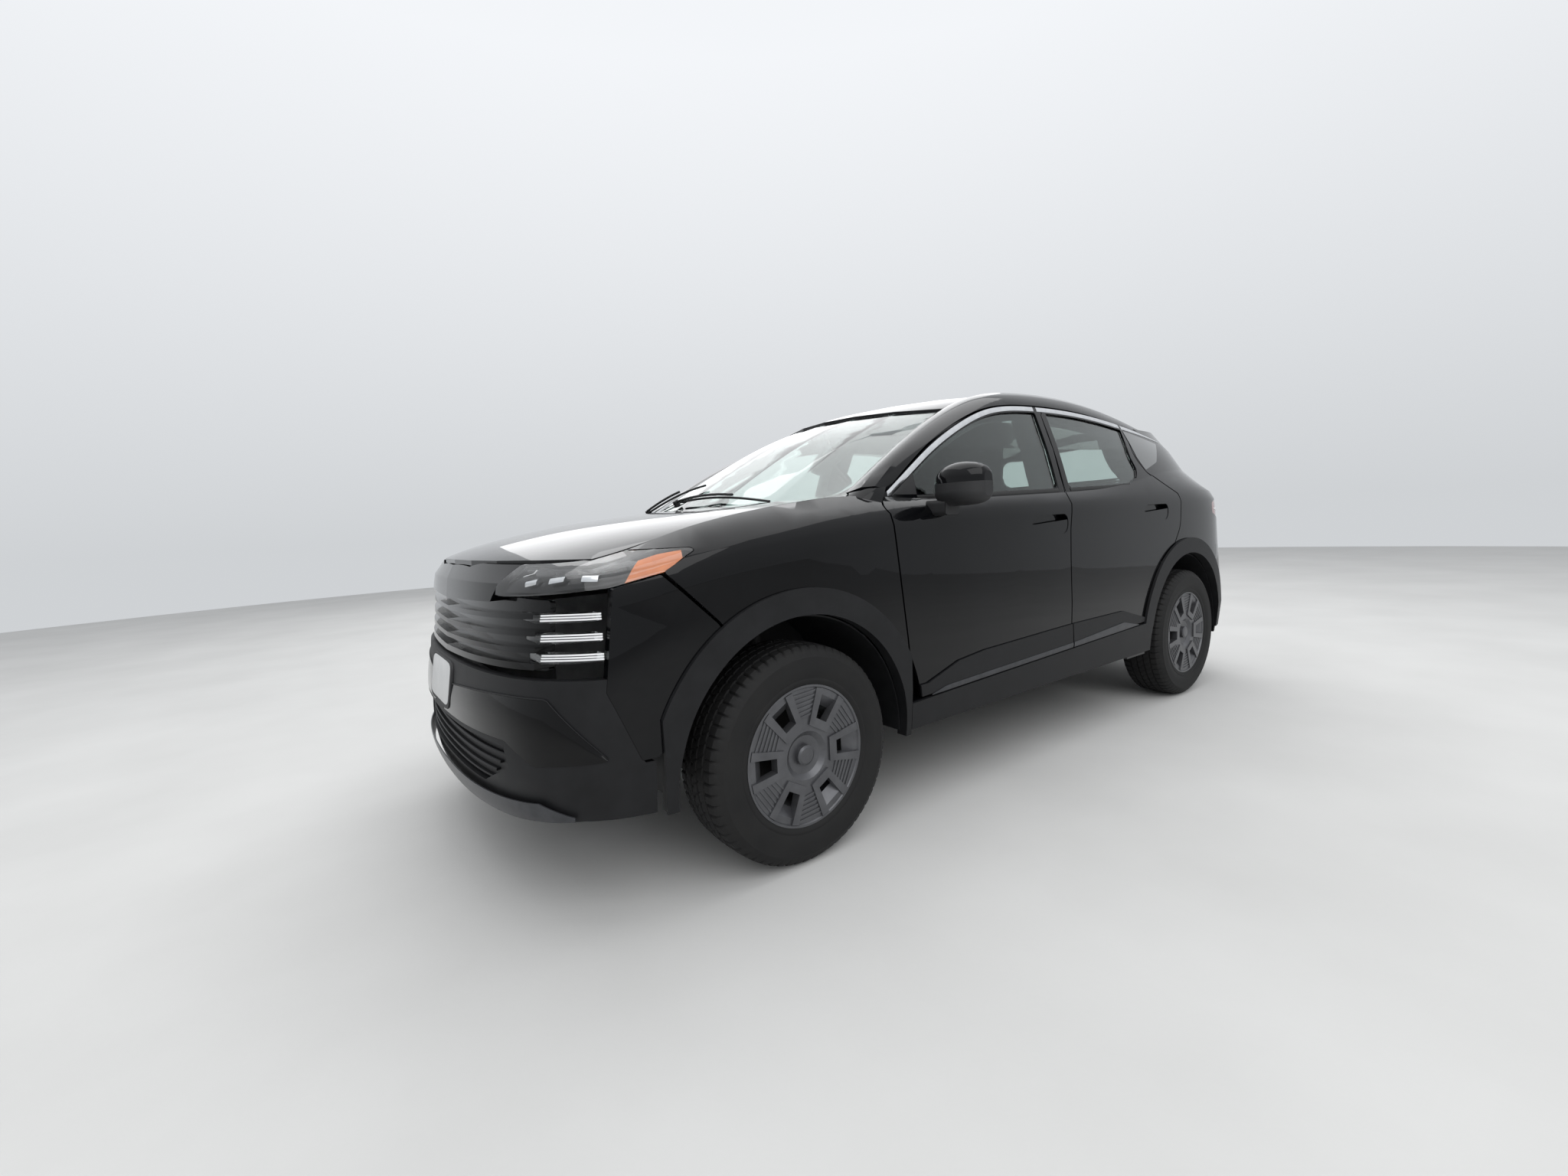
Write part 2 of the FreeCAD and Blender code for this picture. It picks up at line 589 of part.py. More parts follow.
def body_side(front_door, rear_door):
    """Rocker, door ring with B-pillar, quarter panel and rear roof pillar of the left side."""
    doors = (front_door, rear_door)
    wide = joined(*[left_prism(grown(door, JAMB_T)) for door in doors])
    tight = joined(*[left_prism(grown(door, SHUT_GAP)) for door in doors])
    holes = joined(*[left_prism(grown(door, -RING_WIDTH)) for door in doors])
    tail_cut = box(along(1300), along(2400), -across(QUARTER_REAR_Y), 0, 0, up(1900))
    lamp = left_prism(side_wire(LAMP_REAR, 12))
    low = lower_skin(0, 40, 10, 17).common(left_prism(side_wire(QUARTER, 5))).cut(tight)
    high = upper_skin(0, 40, 2, 9).common(left_prism(side_wire(QUARTER, 5))).cut(tight)
    quarter = joined(low, high.common(under_line(-SHUT_GAP / 2))).cut(tail_cut).cut(lamp)
    quarter = max(quarter.Solids, key=lambda solid: solid.Volume)
    rocker = lower_skin(0, SILL_DEPTH, 5, 13).common(left_prism(side_wire(ROCKER, 5))).cut(tight)
    frame = wide.cut(tight)
    jamb_rear = lower_skin(0, SILL_DEPTH, 9, 14).common(frame).common(box(600, 1500, -WIDTH, 0, 0, 1400))
    jamb_front = lower_skin(30, SILL_DEPTH, 5, 9).common(frame).common(box(-1100, -700, -WIDTH, 0, 0, 1135))
    ring_low = lower_skin(INNER_RING_LOW[0], INNER_RING_LOW[1], 5, 14).common(wide).cut(holes)
    ring_high = upper_skin(INNER_RING_HIGH[0], INNER_RING_HIGH[1], 0, 6).common(wide).common(under_line(-10))
    ring_high = ring_high.cut(holes.common(under_line(RING_WIDTH)))
    belt_room = lower_skin(-20, INNER_RING_LOW[0] + BELT_INSET, 5, 14).common(tight)
    ring_high = ring_high.cut(moved(belt_room, V(0, 0, BELT_ROOM)))
    hinges = door_hinges(front_door, HINGE_REACH[0], (-900, -780)) + door_hinges(rear_door, HINGE_REACH[1], (150, 240))
    half_x, half_y = JACK_PAD[0] / 2, JACK_PAD[1] / 2
    pads = [box(along(x) - half_x, along(x) + half_x, -across(JACK_Y) - half_y, -across(JACK_Y) + half_y,
                up(JACK_Z), up(SILL_BASE_Z + 20)) for x in JACK_X]
    side = joined(quarter, rocker, jamb_rear, jamb_front, ring_low, ring_high, *hinges, *pads)
    return side.cut(arch_disc(REAR_AXLE_X, 30))


def rail_rows(depth):
    """Roof side rail from its window edge to its roof edge, pushed in by depth."""
    low = [V(along(x), -across(y), up(z)) for x, y, z, _, _, _ in RAIL]
    high = [V(along(x), -across(y), up(z)) for _, _, _, x, y, z in RAIL]
    rows = []
    for i in range(len(RAIL)):
        run = low[min(i + 1, len(low) - 1)] - low[max(i - 1, 0)]
        chord = high[i] - low[i]
        normal = run.cross(chord)
        normal.normalize()
        if normal.y > 0:
            normal = normal * -1
        rise = chord.Length * RAIL_BULGE
        side = [low[i], low[i] + chord * 0.33 + normal * rise, low[i] + chord * 0.67 + normal * rise, high[i]]
        rows.append([point - normal * depth for point in side])
    return rows


def roof_rail(front_door, rear_door):
    """A-pillar and roof side rail, stepped to take the doors, the windscreen and the roof."""
    shift = V(0, 0, SHUT_GAP / 2)
    outer = surface([[point + shift for point in row] for row in rail_rows(0)])
    inner = surface([[point + shift for point in row] for row in rail_rows(RAIL_T)])
    rail = ruled_slab(outer, inner, (0, 0.34, 0.67, 1))
    doors = joined(*[left_prism(grown(door, SHUT_GAP)) for door in (front_door, rear_door)])
    doors = doors.common(under_line(-SHUT_GAP / 2))
    rail = rail.cut(upper_skin(-60, FRAME_T + DOOR_ROOM, 0, 6).common(doors))
    rail = rail.cut(lower_skin(-60, DOOR_T + DOOR_ROOM, 5, 9).common(doors))
    rail = rail.cut(box(along(ROOF_SEAM_X) - SHUT_GAP / 2, along(2000), -across(560), 0, 0, up(1900)))
    return rail.cut(roof_room()).cut(screen_room())


def crowned(edge, centre, depth, flat=0.62):
    """Half surface between an edge row on the left and a centre line row, for roof, screen and hood."""
    rows = []
    for side, (x, z) in zip(edge, centre):
        mid = V(along(x), 0, up(z))
        drop = V(0, 0, depth)
        near = V(mid.x, side.y * 0.33, mid.z)
        far = V(side.x + (mid.x - side.x) * flat, side.y * 0.67, side.z + (mid.z - side.z) * (flat + 0.16))
        rows.append([side - drop, far - drop, near - drop, mid - drop])
    return surface(rows)


def screen_edge():
    return [V(along(x), -across(y), up(z)) for _, _, _, x, y, z in RAIL]


def screen_net(depth, gap=SEAM_GAP):
    edge = [point + V(0, gap, 0) for point in screen_edge()[:WINDSCREEN_ROWS]]
    return crowned(edge, SCREEN_CENTRE, depth)


def screen_room():
    return ruled_slab(screen_net(-40, 0), screen_net(GLASS_SET + GLASS_T + SCREEN_BED, 0), CROWN_LEVELS)


def windscreen():
    return whole(ruled_slab(screen_net(GLASS_SET), screen_net(GLASS_SET + GLASS_T), CROWN_LEVELS))


def roof_net(depth, gap=SEAM_GAP):
    edge = [point + V(0, gap, 0) for point in screen_edge()[WINDSCREEN_ROWS - 1:]]
    return crowned(edge, ROOF_CENTRE, depth)


def roof_room():
    return ruled_slab(roof_net(-40, 0), roof_net(ROOF_T + JOIN_GAP, 0), CROWN_LEVELS)


def roof_panel():
    half = ruled_slab(roof_net(0), roof_net(ROOF_T), CROWN_LEVELS)
    half = half.common(box(-3000, along(ROOF_SEAM_X) - SHUT_GAP / 2, -WIDTH, 0, 0, 3000))
    inner, outer, top, bottom = ROOF_BRACKET
    bracket = ruled_slab(roof_net(top), roof_net(bottom), CROWN_LEVELS)
    back = along(TAILGATE_FRONT_X) - HINGE_GAP
    return whole(half.fuse(bracket.common(box(back - 90, back, -across(outer), -across(inner), 0, 3000))))


def seam_point(x):
    """Point of the hood seam at a length station."""
    edge = lower_net(0).vIso(6)
    low, high = 0.0, 8.0
    for _ in range(40):
        middle = (low + high) / 2
        if edge.value(middle).x < along(x):
            low = middle
        else:
            high = middle
    return edge.value(low)


def hood_rows(depth, gap):
    rows = []
    for seam_x, centre_x, centre_z, swell in HOOD:
        side = seam_point(seam_x) + V(0, gap, 0)
        mid = V(along(centre_x), 0, up(centre_z))
        step = mid - side
        far = V(side.x + step.x * swell, side.y * 0.70, side.z + step.z * swell * 0.9)
        near = V(mid.x, side.y * 0.33, mid.z)
        rows.append([point - V(0, 0, depth) for point in (side, far, near, mid)])
    return rows


def hood():
    outer, inner = [surface(hood_rows(depth, SHUT_GAP)) for depth in (0, HOOD_T)]
    return whole(ruled_slab(outer, inner, HOOD_LEVELS))


def hood_hinge():
    """Bracket from the bulkhead's corner up to the underside of the hood, left side."""
    x0, x1, y0, y1, z0, z1 = HOOD_POST
    arm = box(along(x0), along(FLOOR_LINE[0][0]), -across(y1), -across(y0), up(z0), up(z1))
    post = box(along(x0), along(x1), -across(y1), -across(y0), up(z0), up(1200))
    nets = [surface(hood_rows(depth, SHUT_GAP)) for depth in (-120, HOOD_T + HINGE_GAP)]
    return arm.fuse(post.cut(ruled_slab(nets[0], nets[1], HOOD_LEVELS)))


def hood_room():
    """The left half of the space that the closed hood takes up, with its gaps."""
    nets = []
    for depth in (-120, HOOD_T + DOOR_ROOM):
        rows = hood_rows(depth, -2)
        first = [point - V(SHUT_GAP, 0, 0) for point in rows[0]]
        last = [point + V(2 * SHUT_GAP, 0, 0) for point in rows[-1]]
        nets.append(surface([first] + rows + [last]))
    return ruled_slab(nets[0], nets[1], HOOD_LEVELS)


def cowl():
    """Wiper well between hood, fenders and windscreen."""
    glass_base = screen_net(GLASS_SET + GLASS_T, COWL_SIDE)
    hood_end = surface(hood_rows(HOOD_T + DOOR_ROOM, COWL_SIDE))
    back = [glass_base.getPole(1, k) for k in (1, 2, 3, 4)]
    front = [hood_end.getPole(len(HOOD), k) for k in (1, 2, 3, 4)]
    nets = []
    for drop in (0, COWL_T):
        lift = V(0, 0, -drop)
        rows = [[point + V(-0.5, 0, -0.5) + lift for point in back], [point + V(-24, 0, -24) + lift for point in back],
                [point + V(8, 0, -6) + lift for point in front], [point + V(-70, 0, -4) + lift for point in front]]
        nets.append(surface(rows))
    return whole(ruled_slab(nets[0], nets[1], CROWN_LEVELS))


def fender(front_door):
    tight = left_prism(grown(front_door, SHUT_GAP))
    skin = lower_skin(0, PANEL_T, 3, 8).common(left_prism(side_wire(FENDER, 6)))
    skin = skin.cut(tight).cut(arch_disc(FRONT_AXLE_X, 34)).cut(hood_room())
    return max(skin.Solids, key=lambda solid: solid.Volume)


def bumper_corner():
    """Painted corner panel ahead of the front wheel."""
    skin = lower_skin(0, BUMPER_T, 1, 6).common(left_prism(side_wire(CORNER_PANEL, 8)))
    return max(skin.cut(arch_disc(FRONT_AXLE_X, 34)).Solids, key=lambda solid: solid.Volume)


def front_prism(points, radius=10.0):
    """Prism along X of an outline drawn in y and z of the left half, over the front or the tail."""
    wire = rounded([(V(0, -across(p[0]), up(p[1])), p[2] if len(p) > 2 else None) for p in points], radius)
    wire.translate(V(-4000, 0, 0))
    return Part.Face(wire).extrude(V(8000, 0, 0))


def lower_bumper():
    skin = lower_skin(0, BUMPER_T, 0, 6).common(left_prism(side_wire(LOWER_BUMPER, 5), 0))
    skin = skin.cut(left_prism(grown(side_wire(CORNER_PANEL, 8), JOIN_GAP)))
    skin = skin.cut(front_prism(INTAKE, 12))
    return whole(max(skin.Solids, key=lambda solid: solid.Volume))


def bar_prism(low, high, gap=0.0):
    """Outline of one light bar beside the grille."""
    wire = side_wire(((-2026, low - 4, 2), (-1904, low, 2), (-1900, high, 2), (-2024, high - 2, 2)), 2)
    return left_prism(grown(wire, gap))


def headlamp():
    """Lens under the hood's edge and the light bars below it, left side."""
    lens = lower_skin(3, LAMP_T, 0, 6).common(left_prism(side_wire(HEADLAMP, 4), -400))
    lens = lens.cut(hood_room()).cut(front_prism(NOSE_PANEL, 10)).cut(left_prism(grown(side_wire(FENDER, 6), JOIN_GAP)))
    bars = [lower_skin(4, GRILLE_BACK[0] - GLASS_GAP, 1, 5).common(bar_prism(low, high)) for low, high in LIGHT_BARS]
    return Part.makeCompound(lens.Solids + [solid for bar in bars for solid in bar.Solids])


def nose_grille():
    """Gloss panel between the lamps, louvres and the plate behind them."""
    back = lower_skin(GRILLE_BACK[0], GRILLE_BACK[1], 0, 4).common(front_prism(GRILLE, 10))
    panel = lower_skin(4, 47, 0, 4).common(front_prism(NOSE_PANEL, 10)).cut(hood_room())
    louvres = []
    for low, high in LOUVRES:
        bar = lower_skin(10, 47, 0, 4).common(front_prism(((0, low), (GRILLE_HALF, low + 14), (GRILLE_HALF, high + 14), (0, high)), 2))
        louvres.append(bar)
    made = joined(back, panel, *louvres)
    for low, high in LIGHT_BARS:
        made = made.cut(bar_prism(low, high, JOIN_GAP))
    return whole(made)


def tail_prism(grow=0.0):
    wire = rounded([(V(0, -across(y), up(z)), r) for y, z, r in TAILGATE_OUTLINE], 10)
    wire = grown(wire, grow)
    wire.translate(V(along(TAILGATE_START_X), 0, 0))
    return Part.Face(wire).extrude(V(2000, 0, 0))


def spoiler_net(depth):
    edge = [V(along(x), -across(y) + SHUT_GAP, up(z)) for x, y, z, _, _ in SPOILER]
    return crowned(edge, [(x, z) for _, _, _, x, z in SPOILER], depth)


def tailgate():
    low = lower_skin(0, TAIL_T, 14, 19).common(tail_prism())
    high = upper_skin(0, TAIL_T - 4, 6, 11).common(tail_prism()).common(box(0, 3000, -WIDTH, 0, 0, up(1424)))
    high = high.cut(front_prism(TAIL_WINDOW, 40))
    top = ruled_slab(spoiler_net(0), spoiler_net(SPOILER_T), (0, 0.33, 0.67, 1))
    return whole(joined(low, high, top))


def tailgate_glass():
    pane = upper_skin(GLASS_SET, GLASS_SET + GLASS_T, 6, 11)
    wire = rounded([(V(0, -across(y), up(z)), r) for y, z, r in TAIL_WINDOW], 40)
    wire = grown(wire, -GLASS_GAP)
    wire.translate(V(along(TAILGATE_START_X), 0, 0))
    return whole(pane.common(Part.Face(wire).extrude(V(2000, 0, 0))))


def rear_bumper(outline):
    skin = lower_skin(0, BUMPER_T, 13, 19).common(left_prism(side_wire(outline, 5), 0)).cut(arch_disc(REAR_AXLE_X, 34))
    return whole(max(skin.Solids, key=lambda solid: solid.Volume))


def tail_lamp():
    lamp = lower_skin(3, LAMP_T, 12, 18).common(left_prism(grown(side_wire(LAMP_REAR, 12), -JOIN_GAP)))
    return lamp.cut(tail_prism(SHUT_GAP))


def arch_band(x, u0, u1, region):
    """Arch lip over the panels' edge, with a deep return inside the wheel arch."""
    over = lower_skin(-CLADDING_PROUD, -GLASS_GAP, u0, u1).common(arch_disc(x, ARCH_BAND))
    lip = lower_skin(-CLADDING_PROUD, ARCH_RETURN, u0, u1).common(arch_disc(x, ARCH_LIP))
    return joined(over, lip).cut(arch_disc(x, 0)).common(region)


def cladding():
    """Wheel arch bands and sill cladding of the left side, one moulding."""
    front_region = box(along(ARCH_FRONT_EDGE), along(ARCH_DOOR_EDGE), -WIDTH, 0, up(300), 3000)
    rear_region = box(along(700), along(2200), -WIDTH, 0, up(SILL_BASE_Z), 3000)
    front = arch_band(FRONT_AXLE_X, 4, 8, front_region)
    rear = arch_band(REAR_AXLE_X, 11, 16, rear_region)
    sill_top = [(x, sill_z(x) - SHUT_GAP / 2) for x in (-851, 1000)]
    wire = side_wire(((-851, SILL_BASE_Z), sill_top[0], sill_top[1], (1000, SILL_BASE_Z)), 2)
    sill = lower_skin(-CLADDING_PROUD, -GLASS_GAP, 6, 13).common(left_prism(wire)).cut(arch_disc(REAR_AXLE_X, ARCH_BAND - 4))
    return front, joined(rear, sill)


def liner(x, inner_y, tower=None):
    """Wheel arch liner with its inner wall, open round the axle."""
    r = TYRE_R + ARCH_CLEAR - 4
    shell = disc(r, x, TYRE_R, -(WIDTH / 2 - 44), -inner_y)
    shell = shell.cut(disc(r - LINER_T, x, TYRE_R, -WIDTH, -inner_y - LINER_T))
    shell = shell.common(box(x - 600, x + 600, -WIDTH, 0, up(LINER_BASE_Z), 3000))
    shell = shell.cut(box(x - 150, x + 150, -inner_y - 20, 0, 0, TYRE_R + 110))
    if tower is not None:
        shell = shell.cut(tower)
    return shell


def plate(points, t, half_width):
    """Bent sheet across the car: a side polyline thickened by t, symmetric about the centre plane."""
    corners = [side_point(x, z) for x, z in points]
    solids = []
    for start, end in zip(corners, corners[1:]):
        run = end - start
        run.normalize()
        side = V(-run.z, 0, run.x) * t
        wire = Part.makePolygon([start - run * t * 0.5, end + run * t * 0.5, end + run * t * 0.5 + side,
                                 start - run * t * 0.5 + side, start - run * t * 0.5])
        wire.translate(V(0, -half_width, 0))
        solids.append(Part.Face(wire).extrude(V(0, 2 * half_width, 0)))
    return joined(*solids)


def kingpin_point(z):
    """Point of the left steering axis at a height."""
    part = (z - BALL_JOINT[1]) / (STRUT_TOP[1] - BALL_JOINT[1])
    return V(FRONT_AXLE_X, -(BALL_JOINT[0] + (STRUT_TOP[0] - BALL_JOINT[0]) * part), z)


def along_kingpin(r, z0, z1):
    start, end = kingpin_point(z0), kingpin_point(z1)
    return Part.makeCylinder(r, (end - start).Length, start, end - start)


def arch_rooms(shape):
    """The shape, cut back from the four wheel arch liners."""
    for x, inner_y in ((FRONT_AXLE_X, LINER_INNER_Y), (REAR_AXLE_X, LINER_REAR_Y)):
        room = disc(TYRE_R + ARCH_CLEAR - 4 + GLASS_GAP, x, TYRE_R, -WIDTH, -inner_y + GLASS_GAP)
        shape = shape.cut(room).cut(mirrored(room))
    return shape


def floor_pan():
    """Bulkhead, floor with its tunnel, rear seat step and load floor."""
    pan = plate(FLOOR_LINE, FLOOR_T, across(FLOOR_HALF))
    rise = up(FLOOR_Z + TUNNEL_H)
    tunnel = box(along(-900), along(500), -across(TUNNEL_HALF), across(TUNNEL_HALF), up(FLOOR_Z), rise)
    inside = across(TUNNEL_HALF) - FLOOR_T
    pan = pan.fuse(tunnel).cut(box(along(-1000), along(500) - FLOOR_T, -inside, inside, up(FLOOR_Z) - 90, rise - FLOOR_T))
    pan = arch_rooms(pan)
    sills = lower_skin(-200, SILL_DEPTH + GLASS_GAP, 5, 13).common(box(-3000, 3000, -WIDTH, 0, 0, up(600)))
    return pan.cut(sills).cut(mirrored(sills))


def front_frame(pan):
    """Chassis legs, inner arch walls, strut towers, hood hinges and the cross beam behind the bumper."""
    bulkhead = along(FLOOR_LINE[0][0])
    leg = box(along(-1985), bulkhead, -LEG_Y[1], -LEG_Y[0], up(LEG_Z[0]), up(LEG_Z[1]))
    tower_z = STRUT_TOP[1]
    tower = box(FRONT_AXLE_X - 120, FRONT_AXLE_X + 120, -STRUT_TOP[0] - 105, -LEG_Y[0] - 20, tower_z + 12, tower_z + 30)
    wall = box(along(-1640), bulkhead, -LEG_Y[0] - 26, -LEG_Y[0], up(LEG_Z[1] - 10), tower_z + 30)
    side = joined(leg, wall, tower, hood_hinge())
    beam = box(along(-1998), along(-1958), -across(600), across(600), up(LEG_Z[0]), up(LEG_Z[1]))
    return arch_rooms(joined(side, mirrored(side), beam)).cut(pan)


def rear_frame(pan):
    """Rear chassis legs under the load floor and the cross beam behind the bumper."""
    leg = box(along(1190), along(2040), -REAR_LEG_Y[1], -REAR_LEG_Y[0], up(SPRING_SEAT_Z[1]), up(606))
    beam = box(along(2010), along(2050), -across(560), across(560), up(480), up(600))
    return arch_rooms(joined(leg, mirrored(leg), beam)).cut(pan)


def fuel_tank():
    x0, x1, half, z0, z1 = TANK
    tank = box(along(x0), along(x1), -across(half), across(half), up(z0), up(z1))
    return tank.makeFillet(24, [e for e in tank.Edges if abs(e.tangentAt(e.FirstParameter).y) > 0.9])


def subframe():
    """Front cradle of four bars with the steering rack, and the lower arms that reach under the ball joints."""
    x0, x1, x2, x3 = [FRONT_AXLE_X + x for x in CRADLE_X]
    low, high = up(CRADLE_Z[0]), up(CRADLE_Z[1])
    front_bar, rear_bar = [box(a, b, -CRADLE_HALF, CRADLE_HALF, low, high) for a, b in ((x0, x1), (x2, x3))]
    rack = disc(30, x3 - 40, high + 28, -CRADLE_HALF, CRADLE_HALF)
    end = kingpin_point(BALL_JOINT[1])
    arm_z = BALL_JOINT[1] - 46
    root = LEG_Y[0] - 20
    arm = Part.Face(Part.makePolygon([V(x1 - 10, -root, 0), V(x2 - 40, -root, 0), V(FRONT_AXLE_X + 34, end.y, 0),
                                      V(FRONT_AXLE_X - 34, end.y, 0), V(x1 - 10, -root, 0)]))
    arm.translate(V(0, 0, arm_z))
    arm = arm.extrude(V(0, 0, ARM_T))
    eye = Part.makeCylinder(34, ARM_T, V(FRONT_AXLE_X, end.y, arm_z))
    ear = box(x1 - 10, x2 - 40, -LEG_Y[0] - 6, -LEG_Y[0] + 34, arm_z, low + 4)
    rail = box(x0, x3, -LEG_Y[1], -CRADLE_HALF - GLASS_GAP, low, high)
    post = box(FRONT_AXLE_X - 60, FRONT_AXLE_X + 100, -LEG_Y[1], -LEG_Y[0] - GLASS_GAP, low, up(LEG_Z[0]) - GLASS_GAP)
    side = joined(rail, arm, eye, ear, post)
    return Part.makeCompound([front_bar, rear_bar.fuse(rack)] + side.Solids + mirrored(side).Solids)


def knuckle():
    """Left hub carrier with brake disc, ball joint boss and strut on the steering axis."""
    hub = disc(HUB_R, FRONT_AXLE_X, TYRE_R, -(WHEEL_Y + WHEEL_FACE_OUT - RUNNING_GAP), -(WHEEL_Y - 100))
    brake = disc(BRAKE_R, FRONT_AXLE_X, TYRE_R, -(WHEEL_Y - 8), -(WHEEL_Y - 30))
    carrier = disc(84, FRONT_AXLE_X, TYRE_R, -(WHEEL_Y - 40), -(WHEEL_Y - 104))
    boss = along_kingpin(26, BALL_JOINT[1] - 46 + ARM_T + 14, TYRE_R)
    foot = along_kingpin(16, BALL_JOINT[1] - 46 + ARM_T + 4.2, TYRE_R)
    tube = along_kingpin(STRUT_R, TYRE_R, STRUT_TOP[1] - 14)
    seat = along_kingpin(70, SPRING_Z, SPRING_Z + 14)
    spring = along_kingpin(54, SPRING_Z + 10, STRUT_TOP[1] - 22)
    cap = along_kingpin(50, STRUT_TOP[1] - 24, STRUT_TOP[1] - GLASS_GAP)
    return joined(hub, brake, carrier, boss, foot, tube, seat, spring, cap)


def rear_axle():
    beam = disc(48, along(BEAM[0]), up(BEAM[1]), -AXLE_ARM_Y, AXLE_ARM_Y)
    parts = [beam]
    for side in (-1, 1):
        y = side * AXLE_ARM_Y
        outline = [V(along(1000), 0, up(330)), V(along(1180), 0, up(360)), V(REAR_AXLE_X + 60, 0, TYRE_R + 40),
                   V(REAR_AXLE_X + 60, 0, TYRE_R - 40), V(along(1180), 0, up(250)), V(along(1000), 0, up(270))]
        arm = prism(rounded([(point, None) for point in outline], 24), y - 24, y + 24)
        reach = sorted((side * (WHEEL_Y + WHEEL_FACE_OUT - RUNNING_GAP), side * (AXLE_ARM_Y - 20)))
        hub = disc(HUB_R, REAR_AXLE_X, TYRE_R, reach[0], reach[1])
        drum_reach = sorted((side * (WHEEL_Y - 8), side * (WHEEL_Y - 60)))
        drum = disc(120, REAR_AXLE_X, TYRE_R, drum_reach[0], drum_reach[1])
        middle = side * sum(REAR_LEG_Y) / 2
        low, high = up(SPRING_SEAT_Z[0]), up(SPRING_SEAT_Z[1]) - GLASS_GAP
        coil = Part.makeCylinder(46, high - low, V(along(1260), middle, low))
        edges = sorted((middle - side * 50, y))
        perch = box(along(1195), along(1320), edges[0], edges[1], low - 14, low)
        parts += [arm, hub, drum, coil, perch]
    return joined(*parts)


def tube(route, r, bend):
    """Round pipe through the points of a route, with bends of one radius."""
    edges = []
    last = route[0]
    for before, corner, after in zip(route, route[1:], route[2:]):
        to_last = (before - corner).normalize()
        to_next = (after - corner).normalize()
        turn = math.pi - to_last.getAngle(to_next)
        reach = bend * math.tan(turn / 2)
        inward = (to_last + to_next).normalize()
        middle = corner + inward * (bend / math.cos(turn / 2) - bend)
        start, end = corner + to_last * reach, corner + to_next * reach
        edges += [Part.LineSegment(last, start).toShape(), Part.Arc(start, middle, end).toShape()]
        last = end
    edges.append(Part.LineSegment(last, route[-1]).toShape())
    mouth = Part.Wire(Part.Circle(route[0], route[1] - route[0], r).toShape())
    return Part.Wire(edges).makePipeShell([mouth], True, True)


def exhaust():
    """Pipe from the tunnel past the tank and over the axle beam to the rear silencer."""
    pipe = tube([V(along(x), across(y), up(z)) for x, y, z in EXHAUST], EXHAUST_R, EXHAUST_BEND)
    x0, x1, y0, y1, z0, z1 = MUFFLER
    silencer = box(along(x0), along(x1), across(y0), across(y1), up(z0), up(z1))
    silencer = silencer.makeFillet(50, [e for e in silencer.Edges if abs(e.tangentAt(e.FirstParameter).x) > 0.9])
    return joined(silencer, pipe)


def spoke_point(across_spoke, r):
    """Point in the wheel's plane, given from the middle line of its topmost window."""
    return V(FRONT_AXLE_X + across_spoke, 0, TYRE_R + r)


def spoke_prism(outline, y0, y1, turn):
    """Prism of an outline in the wheel's plane, turned about the axle."""
    wire = Part.makePolygon([spoke_point(a, r) for a, r in outline + outline[:1]])
    wire.translate(V(0, -y1, 0))
    solid = Part.Face(wire).extrude(V(0, y1 - y0, 0))
    solid.rotate(V(FRONT_AXLE_X, 0, TYRE_R), V(0, 1, 0), turn)
    return solid


def window_room(face, turn):
    """Window of the cover: a hole with a ramp that runs from the rim's edge down into it."""
    rings = []
    for half_width, outer, y in WINDOW_DEPTHS:
        outline = [(-WINDOW_FOOT[0], WINDOW_FOOT[1]), (WINDOW_FOOT[0], WINDOW_FOOT[1]), (half_width, outer), (-half_width, outer)]
        wire = Part.makePolygon([spoke_point(a, r) for a, r in outline + outline[:1]])
        wire.translate(V(0, -(face + y), 0))
        rings.append(wire)
    room = Part.makeLoft(rings, True, True)
    room.rotate(V(FRONT_AXLE_X, 0, TYRE_R), V(0, 1, 0), turn)
    return room


